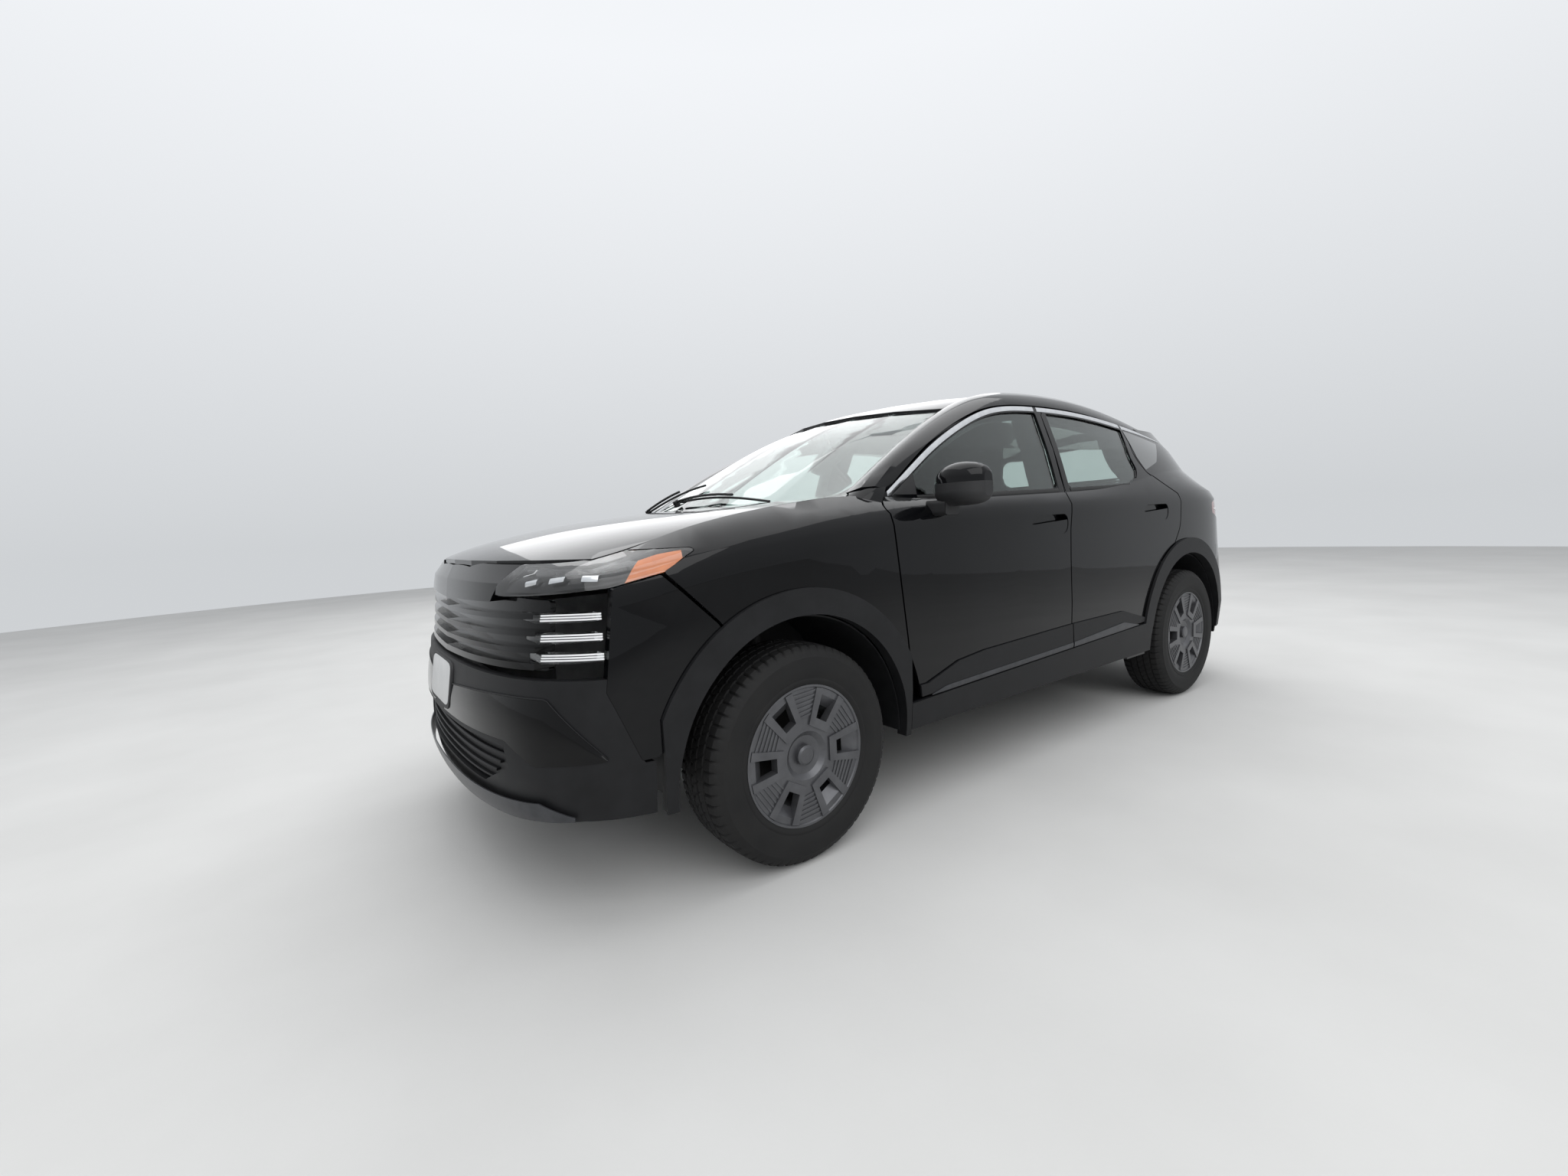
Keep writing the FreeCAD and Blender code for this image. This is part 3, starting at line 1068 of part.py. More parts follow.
def wheel():
    """Left wheel: barrel and flat cover with six framed windows, ribbed wedges between them and a dished middle."""
    half = RIM_W / 2
    y = WHEEL_Y
    hub_face = y + WHEEL_FACE_OUT
    face = y + COVER_OUT
    outline = [(BEAD_R + 17, y - half - 8), (BEAD_R + 17, y - half), (BEAD_R, y - half), (BEAD_R - 2, y - 40),
               (BEAD_R - 18, y - 20), (BEAD_R - 18, y + 40), (BEAD_R, y + half - 14), (BEAD_R, y + half),
               (BEAD_R + 17, y + half), (BEAD_R + 17, y + half + 8), (BEAD_R + 10, y + half + 8), (BEAD_R + 7, face)]
    outline += [(r, face + out) for r, out in COVER_DISH]
    outline += [(0, hub_face), (HUB_R, hub_face), (104, face - 26), (BEAD_R - 26, face - 22), (BEAD_R - 26, y - 26),
                (BEAD_R - 8, y - 46), (BEAD_R - 6, y - half - 8)]
    profile = Part.Face(Part.makePolygon([V(FRONT_AXLE_X, -b, TYRE_R + a) for a, b in outline + outline[:1]]))
    rim = profile.revolve(V(FRONT_AXLE_X, 0, TYRE_R), V(0, 1, 0), 360)
    added, rooms = [], []
    for k in range(SPOKES):
        turn = 360 / SPOKES * (k + 0.5)
        rooms.append(window_room(face, turn))
        mouth = spoke_prism(list(WINDOW_MOUTH), face, face + 2 * FRAME_OUT, turn)
        added.append(spoke_prism(list(WINDOW_FRAME), face - 3, face + FRAME_OUT, turn).cut(mouth))
        for rib in range(RIBS):
            r = RIB_START + rib * RIB_PITCH
            reach = r * math.tan(math.pi / SPOKES) - WEDGE_INSET
            slant = [(-reach, r - RIB_SLANT), (reach, r + RIB_SLANT), (reach, r + RIB_SLANT + RIB_W), (-reach, r - RIB_SLANT + RIB_W)]
            added.append(spoke_prism(slant, face - 2, face + RIB_OUT, turn + 180 / SPOKES))
    edge = disc(BEAD_R + 8, FRONT_AXLE_X, TYRE_R, -face - 30, -hub_face)
    added = [shape.common(edge) for shape in added]
    return rim.fuse(added).cut(joined(*rooms)).removeSplitter()


def tyre():
    half = TYRE_W / 2
    y = WHEEL_Y
    inner = BEAD_R + 0.4
    bead = RIM_W / 2 - GLASS_GAP
    side = TYRE_R - BEAD_R
    profile = [V(inner, bead, 0), V(BEAD_R + 17.6, bead, 0), V(BEAD_R + 24, half * 0.93, 0),
               V(BEAD_R + 0.5 * side, half, 0), V(TYRE_R - 0.21 * side, half * 0.95, 0), V(TYRE_R - 6, half * 0.80, 0),
               V(TYRE_R, half * 0.66, 0), V(TYRE_R, 0, 0)]
    right = [V(FRONT_AXLE_X, -y - p.y, TYRE_R + p.x) for p in profile]
    left = [V(FRONT_AXLE_X, -y + p.y, TYRE_R + p.x) for p in profile[-2::-1]]
    hollow = [(half * 0.64, inner), (half * 0.72, inner + 0.21 * side), (half * 0.90, inner + 0.47 * side),
              (half * 0.84, TYRE_R - 0.26 * side), (half * 0.62, TYRE_R - TREAD_T)]
    carcass = [V(FRONT_AXLE_X, -y + b, TYRE_R + r) for b, r in hollow]
    carcass += [V(FRONT_AXLE_X, -y - b, TYRE_R + r) for b, r in hollow[::-1]]
    ring = right + left + carcass + [right[0]]
    return Part.Face(Part.makePolygon(ring)).revolve(V(FRONT_AXLE_X, 0, TYRE_R), V(0, 1, 0), 360)


def tilted_box(x, z, length, height, half_width, y, angle, radius):
    """Rounded block of a seat: its lower front corner at x, z, turned about it by angle."""
    block = box(x, x + length, y - half_width, y + half_width, z, z + height)
    block = block.makeFillet(radius, block.Edges)
    block.rotate(V(x, y, z), V(0, 1, 0), -angle)
    return block


def seat(x, z, y, half_width, floor_z, back_h):
    cushion = tilted_box(x, z, 480, 130, half_width, y, -8, 40)
    back = tilted_box(x + 400, z + 60, 115, back_h, half_width - 6, y, -24, 38)
    base = box(x + 60, x + 330, y - half_width + 60, y + half_width - 60, floor_z + GLASS_GAP, z + 80)
    return joined(cushion, back, base)


def headrest(x, z, y):
    rest = tilted_box(x, z, 90, 160, 120, y, -20, 34)
    return rest


def front_seats():
    solids = []
    for side in (-1, 1):
        y = side * across(370)
        one = seat(along(-200), up(410), y, 245, up(FLOOR_Z) + FLOOR_T, 600)
        one = one.fuse(headrest(along(-200) + 655, up(410) + 585, y))
        solids += one.Solids
    return Part.makeCompound(solids)


def rear_seat():
    x, z = along(590), up(484)
    bench = seat(x, z, 0, LINER_REAR_Y - 30, up(SEAT_PAN_Z) + FLOOR_T, 520)
    rests = [headrest(x + 622, z + 512, side * across(330)) for side in (-1, 1)]
    return joined(bench, *rests)


def dashboard():
    wall = -1010 + FLOOR_T + GLASS_GAP
    points = ((wall, 1052, 2), (-900, 1068, 60), (-560, 1040, 60), (-505, 985, 50), (-560, 860, 60), (-700, 760, 60),
              (wall, 740, 2))
    block = prism(side_wire(points, 30), -across(660), across(660))
    console = box(along(-860), along(-150), -across(100), across(100), up(FLOOR_Z + TUNNEL_H) + GLASS_GAP, up(600))
    stack = box(along(-860), along(-640), -across(100), across(100), up(590), up(860))
    start = steering_point(-STEERING_HUB - RUNNING_GAP)
    reach = (start.x - along(-585)) / math.cos(math.radians(COLUMN_TILT))
    column = Part.makeCylinder(28, reach, start, start - steering_point(0))
    made = joined(block, console, stack, column)
    room = arch_disc(FRONT_AXLE_X, GLASS_GAP)
    return made.cut(room).cut(mirrored(room))


def steering_point(t):
    """Point on the steering column's axis: t counts from the wheel's plane towards the driver."""
    tilt = math.radians(COLUMN_TILT)
    return V(along(STEERING_X) + t * math.cos(tilt), -across(370), up(STEERING_Z) + t * math.sin(tilt))


def steering_wheel():
    ring = Part.makeTorus(STEERING_R, 16)
    hub = Part.makeCylinder(58, 50, V(0, 0, -30))
    boss = Part.makeCylinder(30, STEERING_HUB - 25, V(0, 0, -STEERING_HUB))
    bar = Part.makeBox(2 * STEERING_R, 44, 16, V(-STEERING_R, -22, -12))
    stem = Part.makeBox(44, STEERING_R, 16, V(-22, -STEERING_R, -12))
    made = joined(ring, hub, boss, bar, stem)
    tilt = FreeCAD.Rotation(V(0, 0, 1), steering_point(1) - steering_point(0))
    upright = FreeCAD.Rotation(V(0, 0, 1), 90)
    made.Placement = FreeCAD.Placement(steering_point(0), tilt.multiply(upright))
    return made


def mirror():
    """Door mirror: housing that swells and tapers outward, on a foot that stands on the door skin."""
    rings = []
    for y, x0, x1, z0, z1, radius in MIRROR:
        corners = [V(along(x), -across(y), up(z)) for x, z in ((x0, z0), (x1, z0), (x1, z1), (x0, z1))]
        rings.append(rounded([(corner, radius) for corner in corners]))
    head = Part.makeLoft(rings, True, False)
    x0, x1, y0, y1, z0, z1 = MIRROR_FOOT
    foot = box(along(x0), along(x1), -across(y1), -across(y0), up(z0), up(z1))
    foot = foot.makeFillet(14, [e for e in foot.Edges if abs(e.tangentAt(e.FirstParameter).y) > 0.9])
    return joined(head, foot.cut(lower_skin(-GLASS_GAP, 300, 7, 10)))


def build():
    front_outline, rear_outline = door_outlines()
    front_window, rear_window = side_wire(FRONT_WINDOW), side_wire(REAR_WINDOW)
    left = {
        "front_door": door_leaf(front_outline, front_window, 6, 12, 0, 4, FRONT_AXLE_X, FRONT_HANDLE),
        "rear_door": door_leaf(rear_outline, rear_window, 9, 14, 2, 6, REAR_AXLE_X, REAR_HANDLE),
        "front_door_cladding": door_cladding(front_outline, FRONT_AXLE_X, 6, 12),
        "rear_door_cladding": door_cladding(rear_outline, REAR_AXLE_X, 9, 14),
        "front_door_glass": door_glass(front_window, 0, 4),
        "rear_door_glass": door_glass(rear_window, 1, 6),
        "mirror": mirror(),
        "body_side": body_side(front_outline, rear_outline).fuse(roof_rail(front_outline, rear_outline)),
        "front_wheel": wheel(),
        "rear_wheel": moved(wheel(), V(WHEELBASE, 0, 0)),
        "front_tyre": tyre(),
        "rear_tyre": moved(tyre(), V(WHEELBASE, 0, 0)),
        "knuckle": knuckle(),
    }
    nodes = {}
    for name, shape in left.items():
        nodes[name + "_left"] = shape
        nodes[name + "_right"] = mirrored(shape)
    tower = along_kingpin(86, 600, STRUT_TOP[1] + 5)
    clad_front, clad_rear = cladding()
    nodes["front_fenders"] = both(fender(front_outline))
    nodes["front_bumper"] = both(bumper_corner())
    nodes["front_lower_bumper"] = lower_bumper()
    nodes["front_grille"] = nose_grille()
    nodes["headlamps"] = both(headlamp())
    nodes["tail_lamps"] = both(tail_lamp())
    nodes["rear_bumper"] = rear_bumper(REAR_BUMPER)
    nodes["rear_lower_bumper"] = rear_bumper(REAR_LOWER_BUMPER)
    nodes["arch_cladding"] = both(Part.makeCompound(clad_front.Solids + clad_rear.Solids))
    nodes["arch_liners"] = both(Part.makeCompound([liner(FRONT_AXLE_X, LINER_INNER_Y, tower), liner(REAR_AXLE_X, LINER_REAR_Y)]))
    nodes["hood"] = hood()
    nodes["cowl_panel"] = cowl()
    nodes["windscreen"] = windscreen()
    nodes["roof_panel"] = roof_panel()
    nodes["tailgate"] = tailgate()
    nodes["tailgate_glass"] = tailgate_glass()
    pan = floor_pan()
    nodes["floor_pan"] = pan
    nodes["front_frame"] = front_frame(pan)
    nodes["rear_frame"] = rear_frame(pan)
    nodes["fuel_tank"] = fuel_tank()
    nodes["engine_block"] = box(along(-1900), along(-1240), GLASS_GAP - LEG_Y[0], LEG_Y[0] - GLASS_GAP, up(330), up(860))
    nodes["front_subframe"] = subframe()
    nodes["rear_axle"] = rear_axle()
    nodes["exhaust"] = exhaust()
    nodes["dashboard"] = dashboard()
    nodes["steering_wheel"] = steering_wheel()
    nodes["front_seats"] = front_seats()
    nodes["rear_seat"] = rear_seat()
    return nodes


def main():
    os.makedirs("parts", exist_ok=True)
    for name, shape in build().items():
        shape.exportStep("parts/" + name + ".step")
        print(name, len(shape.Solids), "solids", round(shape.Volume / 1e6, 2), "litres")


main()
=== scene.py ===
import json
import math
import bmesh
import bpy
import numpy as np
from mathutils import Matrix, Vector, kdtree

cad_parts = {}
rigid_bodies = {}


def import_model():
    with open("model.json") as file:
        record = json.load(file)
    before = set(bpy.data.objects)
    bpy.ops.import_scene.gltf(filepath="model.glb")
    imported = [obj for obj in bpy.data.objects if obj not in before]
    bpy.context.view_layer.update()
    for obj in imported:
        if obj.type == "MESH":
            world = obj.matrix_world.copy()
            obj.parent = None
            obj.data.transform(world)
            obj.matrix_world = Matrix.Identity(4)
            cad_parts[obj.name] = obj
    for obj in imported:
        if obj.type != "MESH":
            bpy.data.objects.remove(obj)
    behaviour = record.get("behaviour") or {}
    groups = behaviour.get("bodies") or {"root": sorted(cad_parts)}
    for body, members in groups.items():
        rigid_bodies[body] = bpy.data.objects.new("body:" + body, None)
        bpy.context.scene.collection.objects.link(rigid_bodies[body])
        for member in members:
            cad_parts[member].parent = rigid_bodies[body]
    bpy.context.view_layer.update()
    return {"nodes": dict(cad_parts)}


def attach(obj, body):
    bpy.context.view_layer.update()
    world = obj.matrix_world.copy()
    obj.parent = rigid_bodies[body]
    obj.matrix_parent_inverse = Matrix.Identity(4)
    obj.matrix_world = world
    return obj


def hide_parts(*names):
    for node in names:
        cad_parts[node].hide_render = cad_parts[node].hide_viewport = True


# Compact crossover, metres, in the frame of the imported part: nose to -X, car's right to +Y, up +Z.

for start_object in list(bpy.data.objects):
    bpy.data.objects.remove(start_object)
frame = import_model()
NODES = frame["nodes"]
MM = 0.001
SIDES = (("left", -1), ("right", 1))

# Body form, millimetres, as in the part's source.
# Plan line of the lower body: x, y, heading, crease_z, belt_x, belt_y, belt_z, rail_x, rail_y, rail_z
STATIONS = (
    (-2183, 0, 0, 925, -2085, 0, 985, None, None, None),
    (-2181, 260, 3, 925, -2080, 260, 984, None, None, None),
    (-2150, 520, 14, 925, -2040, 500, 978, None, None, None),
    (-2070, 735, 38, 928, -1960, 660, 978, None, None, None),
    (-1935, 845, 66, 935, -1870, 725, 985, None, None, None),
    (-1790, 881, 82, 955, -1780, 745, 1003, None, None, None),
    (-1600, 892, 88, 1000, -1600, 748, 1066, None, None, None),
    (-1313, 896, 90, 1036, -1313, 748, 1113, None, None, None),
    (-1000, 890, 90, 1056, -1000, 775, 1142, -1000, 722, 1500),
    (-700, 886, 90, 1062, -700, 842, 1108, -700, 712, 1500),
    (-300, 887, 90, 1064, -300, 847, 1112, -300, 704, 1504),
    (150, 889, 90, 1066, 150, 848, 1120, 150, 697, 1512),
    (600, 890, 90, 1068, 600, 848, 1130, 600, 692, 1506),
    (1000, 892, 90, 1074, 1000, 838, 1190, 990, 682, 1490),
    (1344, 896, 90, 1082, 1344, 810, 1232, 1290, 664, 1470),
    (1620, 893, 92, 1086, 1600, 765, 1225, 1500, 640, 1452),
    (1830, 874, 98, 1086, 1745, 705, 1210, 1610, 585, 1442),
    (2000, 812, 117, 1082, 1830, 600, 1200, 1672, 480, 1438),
    (2110, 655, 143, 1078, 1872, 450, 1195, 1705, 350, 1438),
    (2165, 420, 166, 1076, 1890, 290, 1192, 1722, 220, 1438),
    (2183, 200, 178, 1075, 1896, 140, 1190, 1730, 110, 1438),
    (2183, 0, 180, 1075, 1896, 0, 1190, 1730, 0, 1438),
)
DOOR_START = 8
# z (None: at the crease less drop), drop, side, front, rear
LEVELS = (
    (215, 0, -26, -45, -60), (330, 0, -14, -3, -14), (450, 0, -4, 0, 0), (600, 0, 0, -30, -6),
    (800, 0, -8, -54, -48), (None, 95, -11, -58, -78), (None, 0, -7, -68, -104),
)
# Roof rail: low_x, low_y, low_z, high_x, high_y, high_z
RAIL = (
    (-850, 806, 1146, -985, 742, 1141), (-700, 790, 1254, -830, 700, 1224),
    (-557, 757, 1338, -640, 652, 1326),
    (-349, 724, 1424, -430, 602, 1424), (-200, 707, 1474, -262, 572, 1497), (-50, 700, 1502, -100, 572, 1556),
    (150, 697, 1514, 120, 572, 1582), (500, 692, 1514, 450, 570, 1588), (850, 684, 1487, 850, 566, 1566),
    (1150, 672, 1442, 1180, 560, 1516), (1420, 655, 1392, 1500, 548, 1456),
)
RAIL_BULGE = 0.24
WINDSCREEN_ROWS = 5
SCREEN_CENTRE = ((-1262, 1116), (-1060, 1238), (-842, 1358), (-622, 1458), (-430, 1516))
ROOF_CENTRE = ((-430, 1518), (-230, 1574), (60, 1612), (400, 1621), (850, 1600), (1200, 1552), (1520, 1492))
# Hood: seam station, centre line x and z, swell
HOOD = ((-1872, -2080, 990, 0.93), (-1800, -2030, 1016, 0.86), (-1650, -1860, 1058, 0.74),
        (-1450, -1640, 1094, 0.66), (-1250, -1430, 1112, 0.62), (-1096, -1292, 1124, 0.60))
# Spoiler: edge x, y, z, then centre x and z
SPOILER = ((1487, 548, 1458, 1487, 1500), (1580, 546, 1447, 1600, 1480), (1660, 543, 1437, 1700, 1459),
           (1724, 535, 1427, 1790, 1438))


def unit(vectors):
    return vectors / np.linalg.norm(vectors, axis=-1, keepdims=True)


def basis(count, params):
    """Cubic B-spline weights and their slopes, clamped at both ends, for count poles."""
    spans = count - 3
    knots = np.concatenate([[0] * 3, np.arange(spans + 1), [spans] * 3]).astype(float)
    t = np.clip(np.asarray(params, float), 0, spans - 1e-9)
    weights = ((knots[:-1] <= t[:, None]) & (t[:, None] < knots[1:])).astype(float)
    for degree in (1, 2, 3):
        last = weights
        size = weights.shape[1] - 1
        weights = np.zeros((len(t), size))
        slopes = np.zeros((len(t), size))
        for i in range(size):
            low, high = knots[i + degree] - knots[i], knots[i + degree + 1] - knots[i + 1]
            if low > 0:
                weights[:, i] += (t - knots[i]) / low * last[:, i]
                slopes[:, i] += degree / low * last[:, i]
            if high > 0:
                weights[:, i] += (knots[i + degree + 1] - t) / high * last[:, i + 1]
                slopes[:, i] -= degree / high * last[:, i + 1]
    return weights, slopes


SEARCH_STEP, FORM_STEP, SETTLE_STEPS = 0.02, 0.012, 4


def search_tree(points):
    """Balanced tree over points with two or three coordinates."""
    tree = kdtree.KDTree(len(points))
    for i, point in enumerate(points):
        tree.insert((*point, 0)[:3], i)
    tree.balance()
    return tree


class Net:
    """Smooth surface on a grid of poles, with its outward side facing the given direction."""

    def __init__(self, rows, outside):
        self.poles = np.array(rows, float) * MM
        self.spans = [size - 3 for size in self.poles.shape[:2]]
        self.sign = 1.0
        middle = [np.array([span / 2]) for span in self.spans]
        _, normal = self.at(*middle)
        if np.dot(normal[0], outside) < 0:
            self.sign = -1.0
        self.search = self.samples(SEARCH_STEP)

    def slopes(self, u, v):
        """Points and how they move along both parameters."""
        (bu, du), (bv, dv) = basis(self.poles.shape[0], u), basis(self.poles.shape[1], v)
        return [np.einsum("ki,kj,ijc->kc", a, b, self.poles) for a, b in ((bu, bv), (du, bv), (bu, dv))]

    def at(self, u, v):
        """Points and outward normals."""
        point, along_u, along_v = self.slopes(np.asarray(u, float), np.asarray(v, float))
        return point, unit(np.cross(along_u, along_v)) * self.sign

    def samples(self, step):
        """Parameters, points and normals about a step apart."""
        lengths = [np.linalg.norm(np.diff(self.poles, axis=k), axis=-1).sum(axis=k).max() for k in (0, 1)]
        counts = [int(length / step) + 2 for length in lengths]
        ranges = [np.linspace(0.001, span - 0.001, count) for span, count in zip(self.spans, counts)]
        u, v = [values.ravel() for values in np.meshgrid(*ranges)]
        return u, v, *self.at(u, v)

    def find(self, targets, axes=(0, 1, 2), behind=-9.0):
        """Surface points nearest to targets in millimetres, along the given axes, and their normals."""
        axes = list(axes)
        u, v, points, _ = self.search
        kept = points[:, 0] > behind
        tree = search_tree(points[kept][:, axes])
        targets = np.array(targets, float) * MM
        nearest = [tree.find((*target, 0)[:3])[1] for target in targets]
        u, v = u[kept][nearest], v[kept][nearest]
        for _ in range(SETTLE_STEPS):
            point, along_u, along_v = self.slopes(u, v)
            miss = targets - point[:, axes]
            a, b = along_u[:, axes], along_v[:, axes]
            products = ((a, a), (b, b), (a, b), (miss, a), (miss, b))
            aa, bb, ab, ma, mb = [(p * q).sum(axis=1) for p, q in products]
            area = np.maximum(aa * bb - ab * ab, 1e-18)
            u = np.clip(u + (ma * bb - mb * ab) / area, 0, self.spans[0])
            v = np.clip(v + (mb * aa - ma * ab) / area, 0, self.spans[1])
        return self.at(u, v)


def share(heading):
    """How much a plan heading faces the side, the front and the rear."""
    facing = math.cos(math.radians(heading))
    return 1 - abs(facing), max(facing, 0), max(-facing, 0)


def outward(heading):
    """Horizontal normal of a plan heading on the left side."""
    return np.array([-math.cos(math.radians(heading)), -math.sin(math.radians(heading)), 0])


def lower_rows():
    """Poles of the lower body, from the underside to the belt."""
    rows = []
    for x, y, heading, crease_z, belt_x, belt_y, belt_z, _, _, _ in STATIONS:
        side, front, rear = share(heading)
        normal = outward(heading)
        base = np.array([x, -y, 0])
        row = []
        for z, drop, side_out, front_out, rear_out in LEVELS:
            level = crease_z - drop if z is None else z
            out = side * side_out + front * front_out + rear * rear_out
            row.append(base + normal * out + [0, 0, level])
        belt = np.array([belt_x, -belt_y, belt_z])
        row.append(row[-1] + (belt - row[-1]) * 0.45 + [0, 0, 7] + normal * 5)
        row.append(belt)
        rows.append([point * [1, 0, 1] if y == 0 else point for point in row])
    return rows


def upper_rows(sill_step=6.0, below=45.0, above=60.0):
    """Poles of the cabin side, from below the belt to above the roof rail."""
    rows = []
    for x, y, heading, _, belt_x, belt_y, belt_z, rail_x, rail_y, rail_z in STATIONS[DOOR_START:]:
        normal = outward(heading)
        belt = np.array([belt_x, -belt_y, belt_z]) - normal * sill_step
        rail = np.array([rail_x, -rail_y, rail_z])
        slope = (rail - belt) / (rail[2] - belt[2])
        row = [belt - slope * below, belt]
        row += [belt + (rail - belt) * part + normal * 9 for part in (0.33, 0.67)]
        row += [rail, rail + slope * above]
        rows.append([point * [1, 0, 1] if y == 0 else point for point in row])
    return rows


def rail_rows():
    """Poles of the roof rail and windscreen pillar."""
    low = np.array([(x, -y, z) for x, y, z, _, _, _ in RAIL], float)
    high = np.array([(x, -y, z) for _, _, _, x, y, z in RAIL], float)
    rows = []
    for i in range(len(RAIL)):
        run = low[min(i + 1, len(low) - 1)] - low[max(i - 1, 0)]
        chord = high[i] - low[i]
        normal = unit(np.cross(run, chord))
        if normal[1] > 0:
            normal = -normal
        rise = normal * np.linalg.norm(chord) * RAIL_BULGE
        rows.append([low[i], low[i] + chord * 0.33 + rise, low[i] + chord * 0.67 + rise, high[i]])
    return rows


def crowned(edge, centre, flat=0.62):
    """Poles of a crowned panel between its left edge and the middle plane."""
    rows = []
    for side, (x, z) in zip(edge, centre):
        near = (x, side[1] * 0.33, z)
        far = (side[0] + (x - side[0]) * flat, side[1] * 0.67, side[2] + (z - side[2]) * (flat + 0.16))
        rows.append([side, far, near, (x, 0, z)])
    return rows


LOWER = Net(lower_rows(), (0, -1, 0))
UPPER = Net(upper_rows(), (0, -1, 0))


def seam_point(x):
    """Point of the hood seam at a length station."""
    low, high = 0.0, 8.0
    for _ in range(40):
        middle = (low + high) / 2
        point, _ = LOWER.at([middle], [6.0])
        if point[0][0] < x * MM:
            low = middle
        else:
            high = middle
    return LOWER.at([low], [6.0])[0][0] / MM


def hood_rows():
    """Poles of the hood, from its seam to the middle plane."""
    rows = []
    for seam_x, centre_x, centre_z, swell in HOOD:
        side = seam_point(seam_x) + [0, 7, 0]
        mid = np.array([centre_x, 0, centre_z])
        step = mid - side
        far = (side[0] + step[0] * swell, side[1] * 0.70, side[2] + step[2] * swell * 0.9)
        rows.append([side, far, (mid[0], side[1] * 0.33, mid[2]), mid])
    return rows


RAIL_EDGE = [(x, -y + 4, z) for _, _, _, x, y, z in RAIL]
SPOILER_EDGE = [(x, -y + 7, z) for x, y, z, _, _ in SPOILER]
HOOD_NET = Net(hood_rows(), (0, 0, 1))
SCREEN = Net(crowned(RAIL_EDGE[:WINDSCREEN_ROWS], SCREEN_CENTRE), (0, 0, 1))
ROOF = Net(crowned(RAIL_EDGE[WINDSCREEN_ROWS - 1:], ROOF_CENTRE), (0, 0, 1))
RAIL_NET = Net(rail_rows(), (0, -1, 0))
SPOILER_NET = Net(crowned(SPOILER_EDGE, [(x, z) for _, _, _, x, z in SPOILER]), (0, 0, 1))
NETS = (LOWER, UPPER, HOOD_NET, SCREEN, ROOF, RAIL_NET, SPOILER_NET)

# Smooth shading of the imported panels: how far a corner may be from a sample and from the form's surface,
# and how well its face has to agree with the form

SAMPLE_REACH, FORM_HEIGHT, AGREEMENT = 0.016, 0.0095, 0.86
SKINNED = ["arch_cladding", "body_side_left", "body_side_right", "front_bumper", "front_fenders",
           "front_lower_bumper", "headlamps", "hood", "rear_bumper", "rear_lower_bumper", "roof_panel",
           "tail_lamps", "tailgate", "tailgate_glass", "windscreen"]
for side_name, _ in SIDES:
    for part_name in ("door", "door_cladding", "door_glass"):
        SKINNED += [f"{end}_{part_name}_{side_name}" for end in ("front", "rear")]


def form_samples():
    """Search tree, points and normals of each surface of the body form, left side."""
    made = []
    for net in NETS:
        _, _, point, normal = net.samples(FORM_STEP)
        made.append((search_tree(point), point, normal))
    return made


def form_normal(samples, place):
    """Normal of the form's surface that a place lies on, or None."""
    side = -1.0 if place[1] > 0 else 1.0
    place = np.array([place[0], place[1] * side, place[2]])
    best, answer = FORM_HEIGHT, None
    for tree, point, normal in samples:
        found = tree.find_n(place, 4)
        if found[0][2] > SAMPLE_REACH:
            continue
        index = [i for _, i, _ in found]
        away = abs(np.dot(place - point[index[0]], normal[index[0]]))
        if away < best:
            weights = np.array([1 / (distance + 1e-5) ** 2 for _, _, distance in found])
            best, answer = away, (normal[index] * weights[:, None]).sum(axis=0)
    if answer is None:
        return None
    return answer / np.linalg.norm(answer) * [1, side, 1]


def read(collection, field, width=1, kind=np.float32):
    """Values of a mesh collection, in rows of the given width."""
    values = np.zeros(len(collection) * width, kind)
    collection.foreach_get(field, values)
    return values.reshape(-1, width) if width > 1 else values


def smooth_panels():
    """Gives the outer skin of each panel the normals of the form it was ruled on."""
    samples = form_samples()
    for name in SKINNED:
        mesh = NODES[name].data
        corners = read(mesh.corner_normals, "vector", 3)
        vertex = read(mesh.loops, "vertex_index", kind=np.int32)
        places = read(mesh.vertices, "co", 3)
        smooth = np.zeros_like(places)
        near = np.zeros(len(places), bool)
        for i, place in enumerate(places):
            normal = form_normal(samples, place)
            if normal is not None:
                smooth[i] = normal
                near[i] = True
        sizes = read(mesh.polygons, "loop_total", kind=np.int32)
        per_corner = np.repeat(read(mesh.polygons, "normal", 3), sizes, axis=0)
        take = near[vertex] & ((smooth[vertex] * per_corner).sum(axis=1) > AGREEMENT)
        corners[take] = smooth[vertex][take]
        mesh.normals_split_custom_set(corners.tolist())


smooth_panels()

# Materials

PATCH_STOPS, ROUGH_SPREAD, RELIEF = (0.3, 0.7), 0.12, 0.6


def add(tree, kind, **values):
    """New shader node with inputs set by name."""
    node = tree.nodes.new(f"ShaderNode{kind}")
    for socket, value in values.items():
        node.inputs[socket.replace("_", " ")].default_value = value
    return node


def set_ramp(ramp, stops, colours):
    for stop, position, colour in zip(ramp.color_ramp.elements, stops, colours):
        stop.position = position
        stop.color = (*colour, 1)


